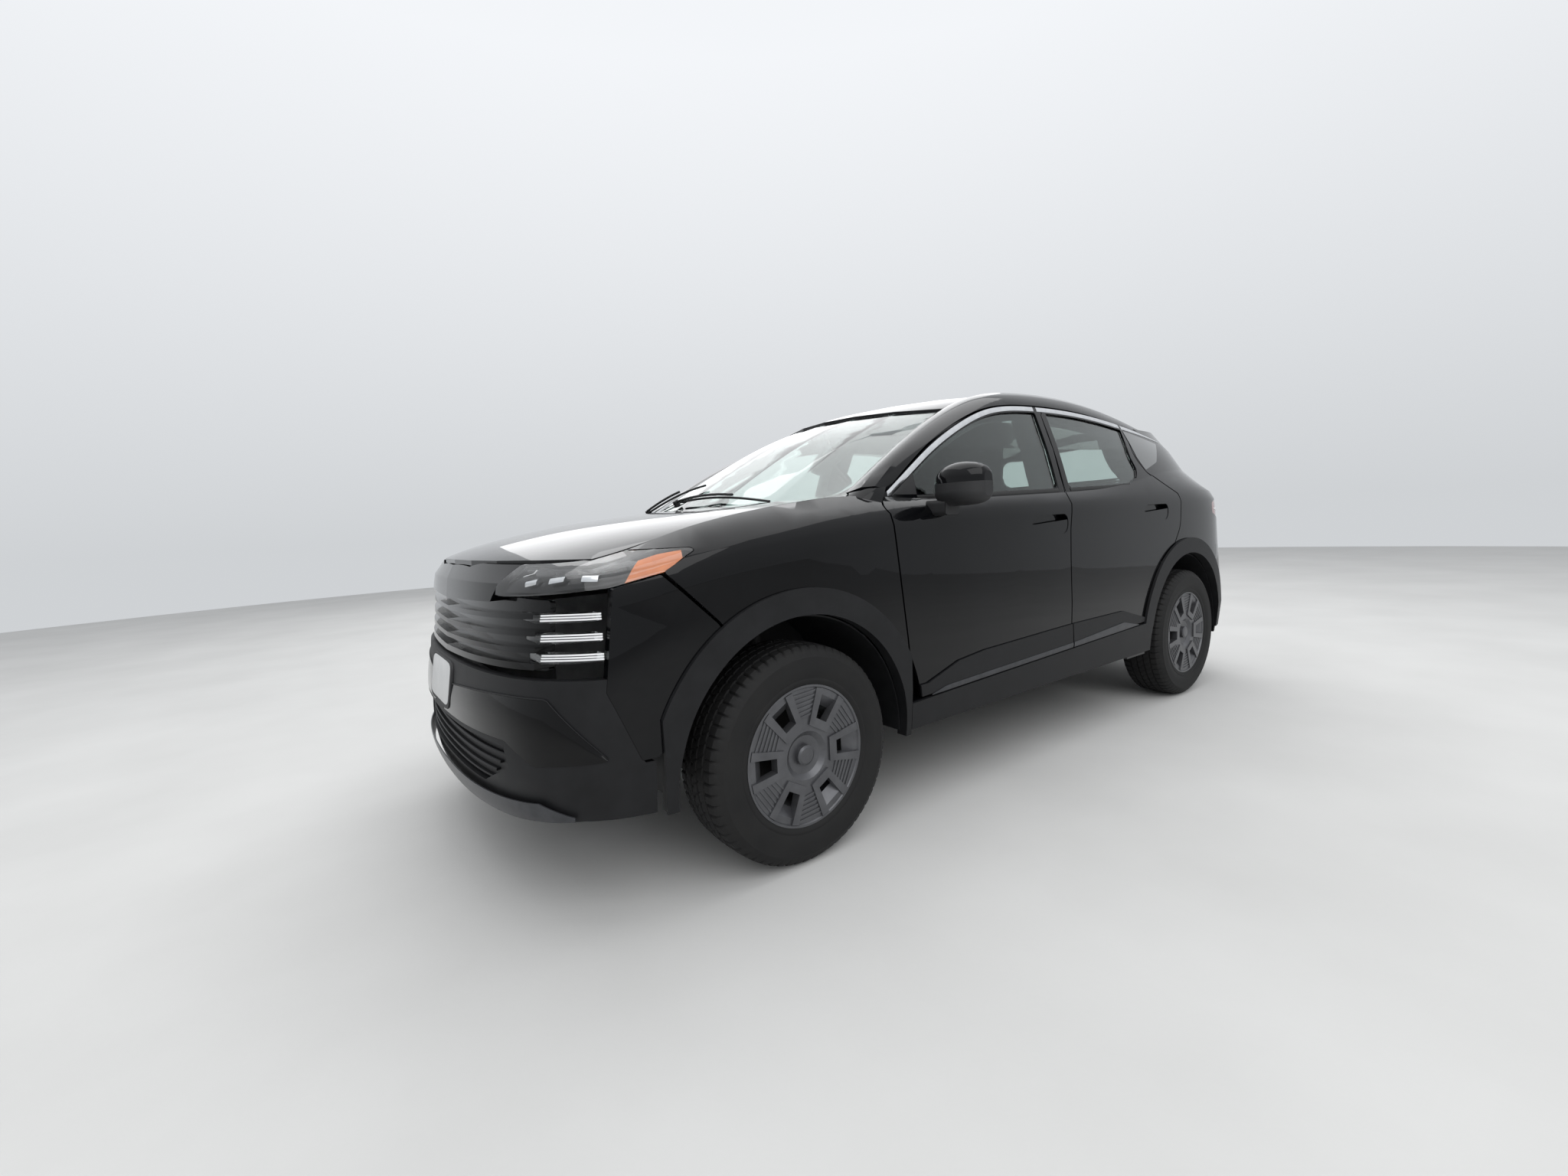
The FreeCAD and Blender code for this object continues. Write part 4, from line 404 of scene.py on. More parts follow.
def surface(name, dark, light, patch_scale, rough, grain=0.0, depth=0.0, **sockets):
    """Material varying in colour and roughness, with a fine relief of the given grain and depth."""
    made = bpy.data.materials.new(name)
    made.use_nodes = True
    tree = made.node_tree
    shader = tree.nodes["Principled BSDF"]
    for socket, value in sockets.items():
        shader.inputs[socket.replace("_", " ")].default_value = value
    place = add(tree, "TexCoord").outputs["Object"]
    patches = add(tree, "TexNoise", Scale=patch_scale, Detail=5)
    ramp = add(tree, "ValToRGB")
    set_ramp(ramp, PATCH_STOPS, (dark, light))
    level = add(tree, "MapRange", To_Min=rough * (1 - ROUGH_SPREAD), To_Max=rough * (1 + ROUGH_SPREAD))
    tree.links.new(place, patches.inputs["Vector"])
    tree.links.new(patches.outputs["Fac"], ramp.inputs["Fac"])
    tree.links.new(ramp.outputs["Color"], shader.inputs["Base Color"])
    tree.links.new(patches.outputs["Fac"], level.inputs["Value"])
    tree.links.new(level.outputs["Result"], shader.inputs["Roughness"])
    if depth:
        fine = add(tree, "TexNoise", Scale=grain, Detail=3)
        bump = add(tree, "Bump", Distance=depth, Strength=RELIEF)
        tree.links.new(place, fine.inputs["Vector"])
        tree.links.new(fine.outputs["Fac"], bump.inputs["Height"])
        tree.links.new(bump.outputs["Normal"], shader.inputs["Normal"])
    return made


def woven(name, dark, light, pitch):
    """Cloth with crossed threads, pitch apart."""
    made = surface(name, dark, light, 9, 0.9, Sheen_Weight=0.35, Sheen_Roughness=0.5)
    tree = made.node_tree
    place = add(tree, "TexCoord").outputs["Object"]
    higher = tree.nodes.new("ShaderNodeMath")
    higher.operation = "MAXIMUM"
    for i, axis in enumerate(("X", "Z")):
        wave = add(tree, "TexWave", Scale=0.314 / pitch, Distortion=0.6)
        wave.bands_direction = axis
        tree.links.new(place, wave.inputs["Vector"])
        tree.links.new(wave.outputs["Fac"], higher.inputs[i])
    bump = add(tree, "Bump", Distance=0.0006)
    tree.links.new(higher.outputs["Value"], bump.inputs["Height"])
    tree.links.new(bump.outputs["Normal"], tree.nodes["Principled BSDF"].inputs["Normal"])
    return made


CLEAR_COAT = dict(Coat_Weight=1.0, Coat_Roughness=0.02)
# Dark and light colour, patch scale, roughness, grain scale and depth, then the shader's own values
FINISHES = {
    "paint": ((0.0016, 0.0017, 0.0022), (0.0030, 0.0032, 0.0040), 3, 0.30, 0, 0,
              dict(Coat_Weight=1.0, Coat_Roughness=0.012, Coat_IOR=1.32, Specular_IOR_Level=0.02)),
    "trim": ((0.0075, 0.0077, 0.0085), (0.0120, 0.0123, 0.0135), 14, 0.5, 900, 0.0003,
             dict(Specular_IOR_Level=0.22)),
    "gloss_black": ((0.0018, 0.0018, 0.002), (0.0032, 0.0032, 0.0036), 6, 0.2, 0, 0,
                    dict(Coat_Weight=0.8, Coat_Roughness=0.03, Coat_IOR=1.32, Specular_IOR_Level=0.04)),
    "glass": ((0.66, 0.76, 0.73), (0.72, 0.81, 0.78), 2, 0.012, 0, 0,
              dict(Transmission_Weight=1.0, IOR=1.45)),
    "lamp": ((0.93, 0.95, 0.96), (0.97, 0.98, 0.98), 5, 0.02, 0, 0,
             dict(Transmission_Weight=1.0, IOR=1.12, **CLEAR_COAT)),
    "tail_lamp": ((0.24, 0.003, 0.004), (0.33, 0.006, 0.007), 8, 0.06, 0, 0,
                  dict(Transmission_Weight=0.35, IOR=1.2, **CLEAR_COAT)),
    "wheel": ((0.085, 0.086, 0.092), (0.115, 0.117, 0.124), 20, 0.36, 700, 0.0001, dict(Metallic=0.6)),
    "tyre": ((0.0065, 0.0065, 0.007), (0.013, 0.0128, 0.0125), 9, 0.72, 420, 0.0004,
             dict(Specular_IOR_Level=0.3)),
    "chassis": ((0.016, 0.016, 0.017), (0.030, 0.029, 0.028), 12, 0.7, 260, 0.0008, {}),
    "underbody": ((0.022, 0.021, 0.020), (0.042, 0.040, 0.037), 7, 0.85, 180, 0.0012, {}),
    "steel": ((0.20, 0.20, 0.205), (0.33, 0.325, 0.32), 18, 0.42, 160, 0.0003, dict(Metallic=0.9)),
    "engine": ((0.09, 0.09, 0.092), (0.16, 0.16, 0.162), 16, 0.55, 200, 0.0008, dict(Metallic=0.5)),
    "interior": ((0.030, 0.030, 0.032), (0.046, 0.046, 0.048), 10, 0.7, 800, 0.0004, {}),
    "chrome": ((0.62, 0.63, 0.65), (0.72, 0.73, 0.74), 30, 0.12, 0, 0, dict(Metallic=1.0)),
    "accent_grey": ((0.040, 0.042, 0.046), (0.060, 0.062, 0.068), 30, 0.34, 900, 0.0001, dict(Metallic=0.5)),
    "quarter_glass": ((0.010, 0.014, 0.013), (0.018, 0.023, 0.022), 5, 0.06, 0, 0, dict(Coat_Weight=1.0)),
    "seal_rubber": ((0.006, 0.006, 0.006), (0.013, 0.013, 0.013), 30, 0.62, 500, 0.0003, {}),
    "matt_black": ((0.009, 0.009, 0.010), (0.016, 0.016, 0.017), 22, 0.6, 800, 0.0003, {}),
    "amber": ((0.44, 0.115, 0.02), (0.52, 0.15, 0.03), 30, 0.3, 0, 0, dict(Coat_Weight=0.5)),
    "light_bar": ((0.82, 0.83, 0.84), (0.92, 0.92, 0.93), 30, 0.3, 0, 0, dict(Coat_Weight=0.6)),
    "mirror_glass": ((0.80, 0.82, 0.83), (0.85, 0.86, 0.87), 4, 0.02, 0, 0, dict(Metallic=1.0)),
    "blank_screen": ((0.004, 0.005, 0.006), (0.008, 0.009, 0.011), 5, 0.12, 0, 0, dict(Coat_Weight=1.0)),
    "blank_plate": ((0.60, 0.61, 0.61), (0.68, 0.68, 0.68), 12, 0.4, 300, 0.0001, {}),
}
# Materials from the finishes; each imported part's slot takes the material of the same name
MATERIALS = {name: surface(name, *look, **sockets) for name, (*look, sockets) in FINISHES.items()}
MATERIALS["seat_cloth"] = woven("seat_cloth", (0.030, 0.031, 0.034), (0.055, 0.056, 0.060), 0.0022)
for node in NODES.values():
    for place in node.material_slots:
        slot_name = place.material.name.split(".")[0]
        if slot_name in MATERIALS:
            place.material = MATERIALS[slot_name]

# Pieces


def piece(name, points, faces, finish, body, angle=40.0):
    """New piece from a mesh in metres, riding on a body."""
    mesh = bpy.data.meshes.new(name)
    mesh.from_pydata([tuple(map(float, point)) for point in points], [], faces)
    shape = bmesh.new()
    shape.from_mesh(mesh)
    bmesh.ops.remove_doubles(shape, verts=shape.verts, dist=0.00002)
    bmesh.ops.recalc_face_normals(shape, faces=shape.faces)
    shape.to_mesh(mesh)
    shape.free()
    mesh.polygons.foreach_set("use_smooth", [True] * len(mesh.polygons))
    mesh.set_sharp_from_angle(angle=math.radians(angle))
    mesh.materials.append(MATERIALS[finish])
    made = bpy.data.objects.new(name, mesh)
    bpy.context.scene.collection.objects.link(made)
    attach(made, body)
    return made


def hand(side):
    return "left" if side < 0 else "right"


def grid_faces(rows, columns, around=False):
    """Quads between rows of points, closed into a tube if around."""
    faces = []
    for i in range(rows - 1):
        for j in range(columns if around else columns - 1):
            a, b = i * columns + j, i * columns + (j + 1) % columns
            faces.append((a, b, b + columns, a + columns))
    return faces


def capped_faces(rings, sides):
    """Faces of a closed bar of rings."""
    last = (rings - 1) * sides
    caps = [tuple(range(sides))[::-1], tuple(range(last, last + sides))]
    return grid_faces(rings, sides, around=True) + caps


def flip(points, side):
    """Points of the left side, mirrored for the right."""
    return np.array(points) * [1, -side, 1] if side == 1 else np.array(points)


def blanket(top, under):
    """Closed solid between two grids of points of the same shape."""
    rows, columns = top.shape[:2]
    points = np.concatenate([top.reshape(-1, 3), under.reshape(-1, 3)])
    faces = grid_faces(rows, columns)
    count = rows * columns
    faces += [tuple(count + i for i in face[::-1]) for face in grid_faces(rows, columns)]
    rim = [(0, j) for j in range(columns)] + [(i, columns - 1) for i in range(1, rows)]
    rim += [(rows - 1, j) for j in range(columns - 2, -1, -1)] + [(i, 0) for i in range(rows - 2, 0, -1)]
    index = [i * columns + j for i, j in rim]
    for a, b in zip(index, index[1:] + index[:1]):
        faces.append((b, a, a + count, b + count))
    return points, faces


def laid(name, net, lines, axes, out, under, finish, body, side, crown=0.0):
    """Moulding through rows of places in millimetres, standing out of the skin and reaching under it."""
    lines = np.array(lines, float)
    shape = (*lines.shape[:2], 3)
    points, normals = [found.reshape(shape) for found in net.find(lines.reshape(-1, len(axes)), axes)]
    swell = np.sin(np.linspace(0, math.pi, shape[0]))[:, None, None] * crown
    top = points + normals * (out + swell) * MM
    points, faces = blanket(top, points - normals * under * MM)
    return piece(f"{name}_{hand(side)}", flip(points, side), faces, finish, body)


def side_band(name, net, lines, out, under, finish, body, side, crown=0.0):
    """Moulding between lines given as seen from the side, x and z."""
    return laid(name, net, lines, (0, 2), out, under, finish, body, side, crown)


def polyline(points, count):
    """Points evenly spread along a broken line."""
    points = np.array(points, float)
    run = np.concatenate([[0], np.cumsum(np.linalg.norm(np.diff(points, axis=0), axis=1))])
    at = np.linspace(0, run[-1], count)
    return np.stack([np.interp(at, run, points[:, k]) for k in range(points.shape[1])], axis=1)


def between(low, high, count):
    return [low + (high - low) * k / (count - 1) for k in range(count)]


def patch(name, low, high, out, under, finish, size, crown, side, slot=None):
    """Panel on the lower body between two broken lines, with so many rows and columns."""
    rows, columns = size
    lines = between(polyline(low, columns), polyline(high, columns), rows)
    return laid(name, LOWER, lines, (0, 1, 2), out, under, finish, "body", side, crown)


def raised(points, rise):
    return [(x, y, z + rise) for x, y, z in points]


# Side windows, seen from the side

WINDOW_LINE = np.array([(x, z) for x, _, z, _, _, _ in RAIL], float)
CHROME_BAND = 27.0
CHROME_DROPS = (4.5, 10, 17, 24)
CHROME_ENDS = {"front": (-846, 188), "rear": (214, 955)}
QUARTER_CHROME = (975, 1405)
QUARTER_PANE = ((978, 1012, 1185, 1335), (1292, 1224, 1268, 1376))
# Pillar covers: both edges at their foot, then at their head
PILLAR_COVERS = {"front": ((163, 197), (192, 218)), "rear": ((214, 250), (238, 276))}
PILLAR_Z = (1126, 1478)
SAIL = (-826, -716, 1132, 1130)
BELT_LINES = {"front": ((-716, 1112), (-300, 1117), (160, 1124)),
              "rear": ((254, 1126), (600, 1134), (785, 1142))}
SEAL_ROWS = (0, 5, 10, 15)


def line_points(x0, x1, count, drop=0.0):
    """Points of the window line between two stations, moved down by drop."""
    weights, slopes = basis(len(WINDOW_LINE), np.linspace(0, len(WINDOW_LINE) - 3, 400))
    at, run = weights @ WINDOW_LINE, unit(slopes @ WINDOW_LINE)
    at = at + np.stack([run[:, 1], -run[:, 0]], axis=1) * drop
    wanted = np.linspace(x0, x1, count)
    return np.stack([wanted, np.interp(wanted, at[:, 0], at[:, 1])], axis=1)


def window_details(side):
    """Bright band, quarter pane, pillar covers, sail panel and belt seals."""
    doors = {end: f"{end}_door_{hand(side)}" for end in ("front", "rear")}
    for end, ends in CHROME_ENDS.items():
        lines = [line_points(*ends, 60, drop) for drop in CHROME_DROPS]
        side_band(f"window_chrome_{end}", UPPER, lines, 1.2, 1.0, "chrome", doors[end], side, 1.2)
    top, bottom = [line_points(*QUARTER_CHROME, 30, drop) for drop in (4.5, 25)]
    bottom = top + (bottom - top) * np.linspace(1, 0.25, 30)[:, None]
    lines = between(top, bottom, 4)
    side_band("window_chrome_quarter", UPPER, lines, 1.2, 1.0, "chrome", "body", side, 1.2)
    stations, heights = QUARTER_PANE
    high = line_points(stations[0], stations[-1], 30, 33)
    low = np.stack([high[:, 0], np.interp(high[:, 0], stations, heights)], axis=1)
    side_band("quarter_glass", UPPER, between(low, high, 8), 1.2, 1.0, "quarter_glass", "body", side)
    for end, (foot, head) in PILLAR_COVERS.items():
        edges = [polyline(((foot[k], PILLAR_Z[0]), (head[k], PILLAR_Z[1])), 12) for k in (0, 1)]
        lines = between(*edges, 4)
        side_band(f"pillar_cover_{end}", UPPER, lines, 1.6, 1.0, "gloss_black", doors[end], side)
    x0, x1, z0, z1 = SAIL
    upper = line_points(x0, x1, 14, CHROME_BAND)
    lower = np.stack([upper[:, 0], np.minimum(np.linspace(z0, z1, 14), upper[:, 1] - 4)], axis=1)
    lines = between(lower, upper, 5)
    side_band("window_sail", UPPER, lines, 2.0, 1.5, "matt_black", doors["front"], side, 0.8)
    for end, ends in BELT_LINES.items():
        lines = [polyline(ends, 30) + [0, rise] for rise in SEAL_ROWS]
        side_band(f"belt_seal_{end}", UPPER, lines, 2.5, 3.0, "seal_rubber", doors[end], side, 1.5)


# Grey accent along the foot of the doors: its lower edge, and the moulding's edge that it reaches towards
ACCENT_LOW = ((-744, 418), (778, 461))
ACCENT_HIGH = ((-744, 424), (-665, 451), (171, 479), (628, 519), (778, 467))
ACCENT_ENDS = {"front": (-744, 181), "rear": (190, 774)}
ACCENT_PART = 0.62


def door_accents(side):
    """Grey accent on both doors' mouldings."""
    low, high = polyline(ACCENT_LOW, 160), polyline(ACCENT_HIGH, 160)
    for end, ends in ACCENT_ENDS.items():
        xs = np.linspace(*ends, 40)
        base = np.interp(xs, low[:, 0], low[:, 1]) + 1
        tall = np.interp(xs, high[:, 0], high[:, 1]) * ACCENT_PART + base * (1 - ACCENT_PART)
        lines = [np.stack([xs, base + (tall - base) * part], axis=1) for part in (0, 0.3, 0.7, 1)]
        body = f"{end}_door_{hand(side)}"
        side_band(f"door_accent_{end}", LOWER, lines, 8.2, -5.5, "accent_grey", body, side, 1.0)


BUMPER_TOP = ((-2149, -83, 597), (-2128, -300, 616), (-2090, -560, 632),
              (-2022, -722, 634), (-1911, -818, 479))
BUMPER_LOW = ((-2149, -83, 512), (-2140, -300, 514), (-2099, -588, 516),
              (-2050, -690, 462), (-1911, -818, 474))
# Panels on the nose: name, lower and upper line, how far out and under, finish, rows and columns, crown
BUMPER_PANELS = (
    ("bumper_insert", BUMPER_LOW, BUMPER_TOP, 2.2, 1.5, "gloss_black", (10, 60), 2.5),
    ("bumper_insert_line", raised(BUMPER_TOP, 1), raised(BUMPER_TOP, 4.5), 3.2, 1.5, "trim", (4, 60), 1.0),
    ("bumper_lip", ((-2164, 0, 300), (-2132, -420, 306), (-2060, -700, 312), (-1990, -770, 318)),
     ((-2164, 0, 352), (-2132, -420, 356), (-2060, -700, 364), (-1990, -770, 330)),
     2.0, 1.5, "accent_grey", (6, 40), 2.0),
    ("intake_screen", ((-2140, 0, 356), (-2130, -300, 356), (-2100, -560, 356), (-2070, -660, 420)),
     ((-2140, 0, 520), (-2130, -300, 520), (-2100, -560, 520), (-2070, -660, 520)),
     -34.0, 38.0, "matt_black", (6, 30), 0.0),
)
LAMP_PANELS = (
    ("indicator", ((-1842, -845, 927), (-1738, -878, 951), (-1680, -860, 982)),
     ((-1786, -810, 982), (-1735, -815, 992), (-1672, -835, 1000)), -5.0, 12.0, "amber", (8, 24), 0.0),
    ("lamp_bezel", ((-2060, -500, 905), (-1985, -690, 905), (-1880, -800, 922), (-1740, -872, 953)),
     ((-2030, -560, 962), (-1960, -690, 968), (-1850, -790, 980), (-1740, -820, 992)),
     -30.0, 40.0, "gloss_black", (8, 40), 0.0),
)
LIGHT_BARS = (834, 782, 731)
BAR_RIBS, RIB_FOOT, RIB_PITCH, RIB_H = 3, 2.6, 6.6, 4.2
SLAT_REACH, SLAT_Z, SLAT_PITCH, SLAT_H = (470, 496, 522, 560, 560), 384, 26, 7
LAMP_MODULES = ((-2022, -640), (-1968, -705), (-1905, -770))


def nose_details(side):
    """Light bars, bumper panels, intake slats, indicator and lamp modules."""
    for i, bar_z in enumerate(LIGHT_BARS):
        for k in range(BAR_RIBS):
            z = bar_z + RIB_FOOT + RIB_PITCH * k
            low = ((-2034 + 3 * k, -708, z), (-1900, -818, z))
            name = f"light_bar_{i + 1}_rib_{k + 1}"
            patch(name, low, raised(low, RIB_H), -2.6, 8.0, "light_bar", (4, 14), 0.6, side)
    for row in BUMPER_PANELS:
        patch(*row, side)
    for k, reach in enumerate(SLAT_REACH):
        z = SLAT_Z + SLAT_PITCH * k
        low = ((-2140, 0, z), (-2120, -300, z), (-2100, -reach, z))
        patch(f"intake_slat_{k + 1}", low, raised(low, SLAT_H), -24.0, 36.0, "trim", (4, 24), 2.0, side)
    for row in LAMP_PANELS:
        patch(*row, side)
    for k, (x, y) in enumerate(LAMP_MODULES):
        low = ((x - 14, y + 14, 926), (x + 16, y - 16, 928))
        high = ((x - 8, y + 14, 956), (x + 22, y - 16, 958))
        patch(f"lamp_module_{k + 1}", low, high, -16.0, 24.0, "chrome", (8, 12), 5.0, side, "lamp")


REAR_PANELS = (
    ("rear_reflector", ((1930, -800, 470), (2060, -700, 470)), ((1930, -800, 505), (2060, -700, 505)),
     3.0, 2.0, "tail_lamp", (6, 14), 1.0),
    ("rear_shield", ((2183, 0, 300), (2165, -400, 300), (2090, -620, 306)),
     ((2183, 0, 372), (2165, -400, 368), (2090, -620, 356)), 2.5, 1.5, "accent_grey", (6, 30), 2.0),
)
TAIL_BAR_LOW = ((1745, -862, 1002), (1900, -835, 990), (1995, -770, 985))
TAIL_BAR_HIGH = ((1745, -862, 1012), (1900, -835, 1002), (1995, -770, 997))
# Side of the tailgate, z and half width, and the width of the panel beside it
TAIL_SIDE_Z, TAIL_SIDE_Y = (1040, 1090, 1200, 1470), (690, 690, 655, 552)
GARNISH_Z, GARNISH_GAP, GARNISH_W = (1185, 1455), 9, 120


def rear_details(side):
    """Lamp inserts, reflectors and the bumper's lower shield at the back."""
    bar = (TAIL_BAR_LOW, TAIL_BAR_HIGH, -2.0, 9.0, "light_bar", (4, 20), 0.6)
    patch("tail_lamp_bar", *bar, side, "tail_lamp")
    for row in REAR_PANELS:
        patch(*row, side)


def pillar_garnish(side):
    """Gloss panel between the rear pillar's skin and the side of the tailgate."""
    shape = (16, 14, 3)
    places = []
    for z in np.linspace(*GARNISH_Z, shape[0]):
        edge = np.interp(z, TAIL_SIDE_Z, TAIL_SIDE_Y) + GARNISH_GAP
        places += [(-(edge + reach), z) for reach in np.linspace(0, GARNISH_W, shape[1])]
    found = UPPER.find(places, (1, 2), behind=1.3)
    points, normals = [values.reshape(shape) for values in found]
    points, faces = blanket(points - normals * 0.004, points - normals * 0.012)
    piece(f"pillar_garnish_{hand(side)}", flip(points, side), faces, "gloss_black", "body")


def pillar_foot(side):
    """Panel in body colour between the foot of the windscreen pillar and the fender."""
    count = 14
    high, high_normal = RAIL_NET.at(np.full(count, 0.05), np.linspace(0.12, 1.0, count))
    low, low_normal = LOWER.find(polyline(((-896, -822, 1104), (-1010, -768, 1104)), count))
    part = np.linspace(0, 1, 8)[:, None, None]
    normals = unit(high_normal * (1 - part) + low_normal * part)
    top = high * (1 - part) + low * part + normals * (np.sin(part * math.pi) * 0.003 - 0.004)
    points, faces = blanket(top, top - normals * 0.004)
    piece(f"pillar_foot_{hand(side)}", flip(points, side), faces, "paint", "body")


# Tyre: radius and offset from its middle plane, first up the wall, then across the tread to the middle
TYRE_R, BEAD_R, BEAD_HALF, WHEEL_Y = 343.0, 203.0, 80.0, 785.0
TYRE_WALL = [(203, -82), (207, -88), (214, -93), (226, -98), (232, -101.5), (236, -101.8), (240, -100.5),
             (256, -105.5), (276, -107.4), (296, -106.2), (302, -106.8), (306, -106.8), (310, -104.2),
             (322, -98.5), (329, -93), (334, -87)]
TREAD_Y = (-82, -76, -70, -64, -58, -55, -52.5, -49.5, -47, -40, -30, -21, -18.5, -15.5, -13, -6, 0)
TREAD_HALF, TREAD_DROP, TREAD_POWER = 90.0, 6.0, 2.6
TREAD_FOOT_R, WALL_BLOCK_R, SHOULDER_Y = 330, 318, 54
GROOVES, GROOVE_HALF = (51, 17), 2.2
GROOVE_DEPTH, SHOULDER_DEPTH, SIPE_DEPTH, WALL_DEPTH = 7.5, 6.0, 4.0, 3.0
SIPE_SLANT = 9.0
TYRE_STEPS, TYRE_PITCHES = 384, 64


def cut_radii(profile):
    """Radius at each step round the tyre, with grooves, sipes and shoulder blocks cut in."""
    turn, step = np.arange(TYRE_STEPS), TYRE_STEPS // TYRE_PITCHES
    grid = np.repeat(profile[:, :1], TYRE_STEPS, axis=1)
    for i, (radius, y) in enumerate(profile):
        off = abs(y)
        on_tread = radius > TREAD_FOOT_R and off < TREAD_HALF
        if on_tread and min(abs(off - groove) for groove in GROOVES) < GROOVE_HALF:
            grid[i] -= GROOVE_DEPTH
        elif on_tread and off > SHOULDER_Y:
            grid[i, turn % step == 0] -= SHOULDER_DEPTH
        elif on_tread:
            shift = int(round(off / SIPE_SLANT)) + (0 if y > 0 else step // 2)
            grid[i, (turn + shift) % step == 0] -= SIPE_DEPTH
        elif radius > WALL_BLOCK_R:
            grid[i, turn % step == 0] -= WALL_DEPTH
    return grid


def tyre(name, x, side, body):
    """Tyre with ribs, sipes, shoulder blocks and a raised ring on each wall."""
    tread = [(TYRE_R - (abs(y) / TREAD_HALF) ** TREAD_POWER * TREAD_DROP, y) for y in TREAD_Y]
    half = TYRE_WALL + tread
    profile = np.array(half + [(r, -y) for r, y in half[-2::-1]])
    angle = np.arange(TYRE_STEPS) * 2 * math.pi / TYRE_STEPS
    grid = cut_radii(profile)
    grid = np.concatenate([grid, np.full((2, TYRE_STEPS), BEAD_R)])
    offset = np.concatenate([profile[:, 1], (BEAD_HALF, -BEAD_HALF)])[:, None] + 0 * grid
    places = (x + grid * np.cos(angle), offset + side * WHEEL_Y, TYRE_R + grid * np.sin(angle))
    points = np.stack(places, axis=-1).reshape(-1, 3) * MM
    faces = grid_faces(len(grid), TYRE_STEPS, around=True)
    last = (len(grid) - 1) * TYRE_STEPS
    faces += [(last + j, last + (j + 1) % TYRE_STEPS, (j + 1) % TYRE_STEPS, j) for j in range(TYRE_STEPS)]
    made = piece(f"{name}_detail", points, faces, "tyre", body, angle=32)
    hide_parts(name)


# Seats, metres: name, both ends of the pad's middle line seen from the side, width, thickness, seams
CHANNEL_DEPTH, CHANNEL_HALF, PAD_FILL = 0.006, 0.009, 0.7
FRONT_SEAT_Y, REAR_HEADREST_Y = 0.370, 0.330
FRONT_SEAMS = ((-0.58, "y"), (0.58, "y"), (-0.2, "x"), (0.3, "x"))
FRONT_PADS = (
    ("front_cushion", (-0.200, 0.475), (0.285, 0.470), 0.49, 0.128, FRONT_SEAMS),
    ("front_backrest", (0.262, 0.500), (0.487, 1.005), 0.48, 0.112, FRONT_SEAMS),
    ("front_headrest", (0.478, 0.990), (0.531, 1.134), 0.24, 0.086, ()),
)
REAR_PADS = (
    ("rear_cushion", (0.602, 0.556), (1.062, 0.546), 0.40, 0.126, ((-0.2, "x"), (0.3, "x"))),
    ("rear_backrest", (1.050, 0.600), (1.245, 1.020), 0.40, 0.105, ((-0.1, "x"), (0.35, "x"))),
)
REAR_PLACES = (("left", -0.405), ("middle", 0.0), ("right", 0.405))
REAR_HEADREST = ("rear_headrest", (1.244, 1.010), (1.288, 1.128), 0.25, 0.078, ())
HEADREST_RODS = (-0.055, 0.055)
ROD_LINE = ((0.470, 0.955), (0.486, 0.990), (0.505, 1.050))


def rounded(u, power):
    """Edge profile of a stuffed form, one in the middle and nothing at the seam."""
    return (1 - np.abs(u) ** power) ** (1 / power)


def pad(row, place_name, y):
    """Stuffed pad with sewn channels, a crown and sides that pull in between its corners."""
    name, (x0, z0), (x1, z1), width, thick, seams = row
    length = math.hypot(x1 - x0, z1 - z0)
    u, v = np.meshgrid(np.linspace(-1, 1, 44), np.linspace(-1, 1, 36))
    along_x = v * length / 2 * (0.985 + 0.015 * np.cos(u * math.pi))
    along_y = u * width / 2 * (0.96 + 0.04 * np.cos(v * math.pi))
    height = rounded(u, 5) * rounded(v, 5)
    top = thick / 2 * height * (1 + 0.10 * np.cos(u * math.pi / 2) * np.cos(v * math.pi / 2) - 0.10)
    bolster = np.clip((np.abs(u) - 0.62) / 0.2, 0, 1)
    top = top - thick * 0.10 * (1 - bolster) * rounded(v, 6)
    for at, axis in seams:
        away = np.abs((u if axis == "y" else v) - at) * (width if axis == "y" else length) / 2
        top = top - CHANNEL_DEPTH * np.exp(-(away / CHANNEL_HALF) ** 2)
    grids = [np.stack([along_x, along_y, z], axis=-1) for z in (top, -thick / 2 * height * 0.92)]
    points, faces = blanket(*grids)
    turn = np.array(Matrix.Rotation(-math.atan2(z1 - z0, x1 - x0), 3, "Y"))
    points = points @ turn.T + [(x0 + x1) / 2, y, (z0 + z1) / 2]
    made = piece(f"{name}_{place_name}", points, faces, "seat_cloth", "body", angle=60)
    return made


def rod(name, points, radius, finish, sides=12):
    """Round bar along a line of points, fixed to the body."""
    points = np.array(points, float)
    rings = []
    for i, point in enumerate(points):
        run = unit(points[min(i + 1, len(points) - 1)] - points[max(i - 1, 0)])
        helper = np.array([0, 1, 0]) if abs(run[1]) < 0.9 else np.array([1, 0, 0])
        a = unit(np.cross(run, helper))
        b = np.cross(run, a)
        turn = np.arange(sides) * 2 * math.pi / sides
        rings += [point + (a * math.cos(t) + b * math.sin(t)) * radius for t in turn]
    return piece(name, rings, capped_faces(len(points), sides), finish, "body")


def seats():
    """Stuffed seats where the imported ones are."""
    pads = []
    for side_name, side in SIDES:
        y = side * FRONT_SEAT_Y
        pads += [pad(row, side_name, y) for row in FRONT_PADS]
        for k, offset in enumerate(HEADREST_RODS):
            line = [(x, y + offset, z) for x, z in ROD_LINE]
            rod(f"front_headrest_rod_{side_name}_{k + 1}", line, 0.006, "steel")
    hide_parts("front_seats")
    pads = [pad(row, place_name, y) for place_name, y in REAR_PLACES for row in REAR_PADS]
    for side_name, side in SIDES:
        pad(REAR_HEADREST, side_name, side * REAR_HEADREST_Y)
    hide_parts("rear_seat")


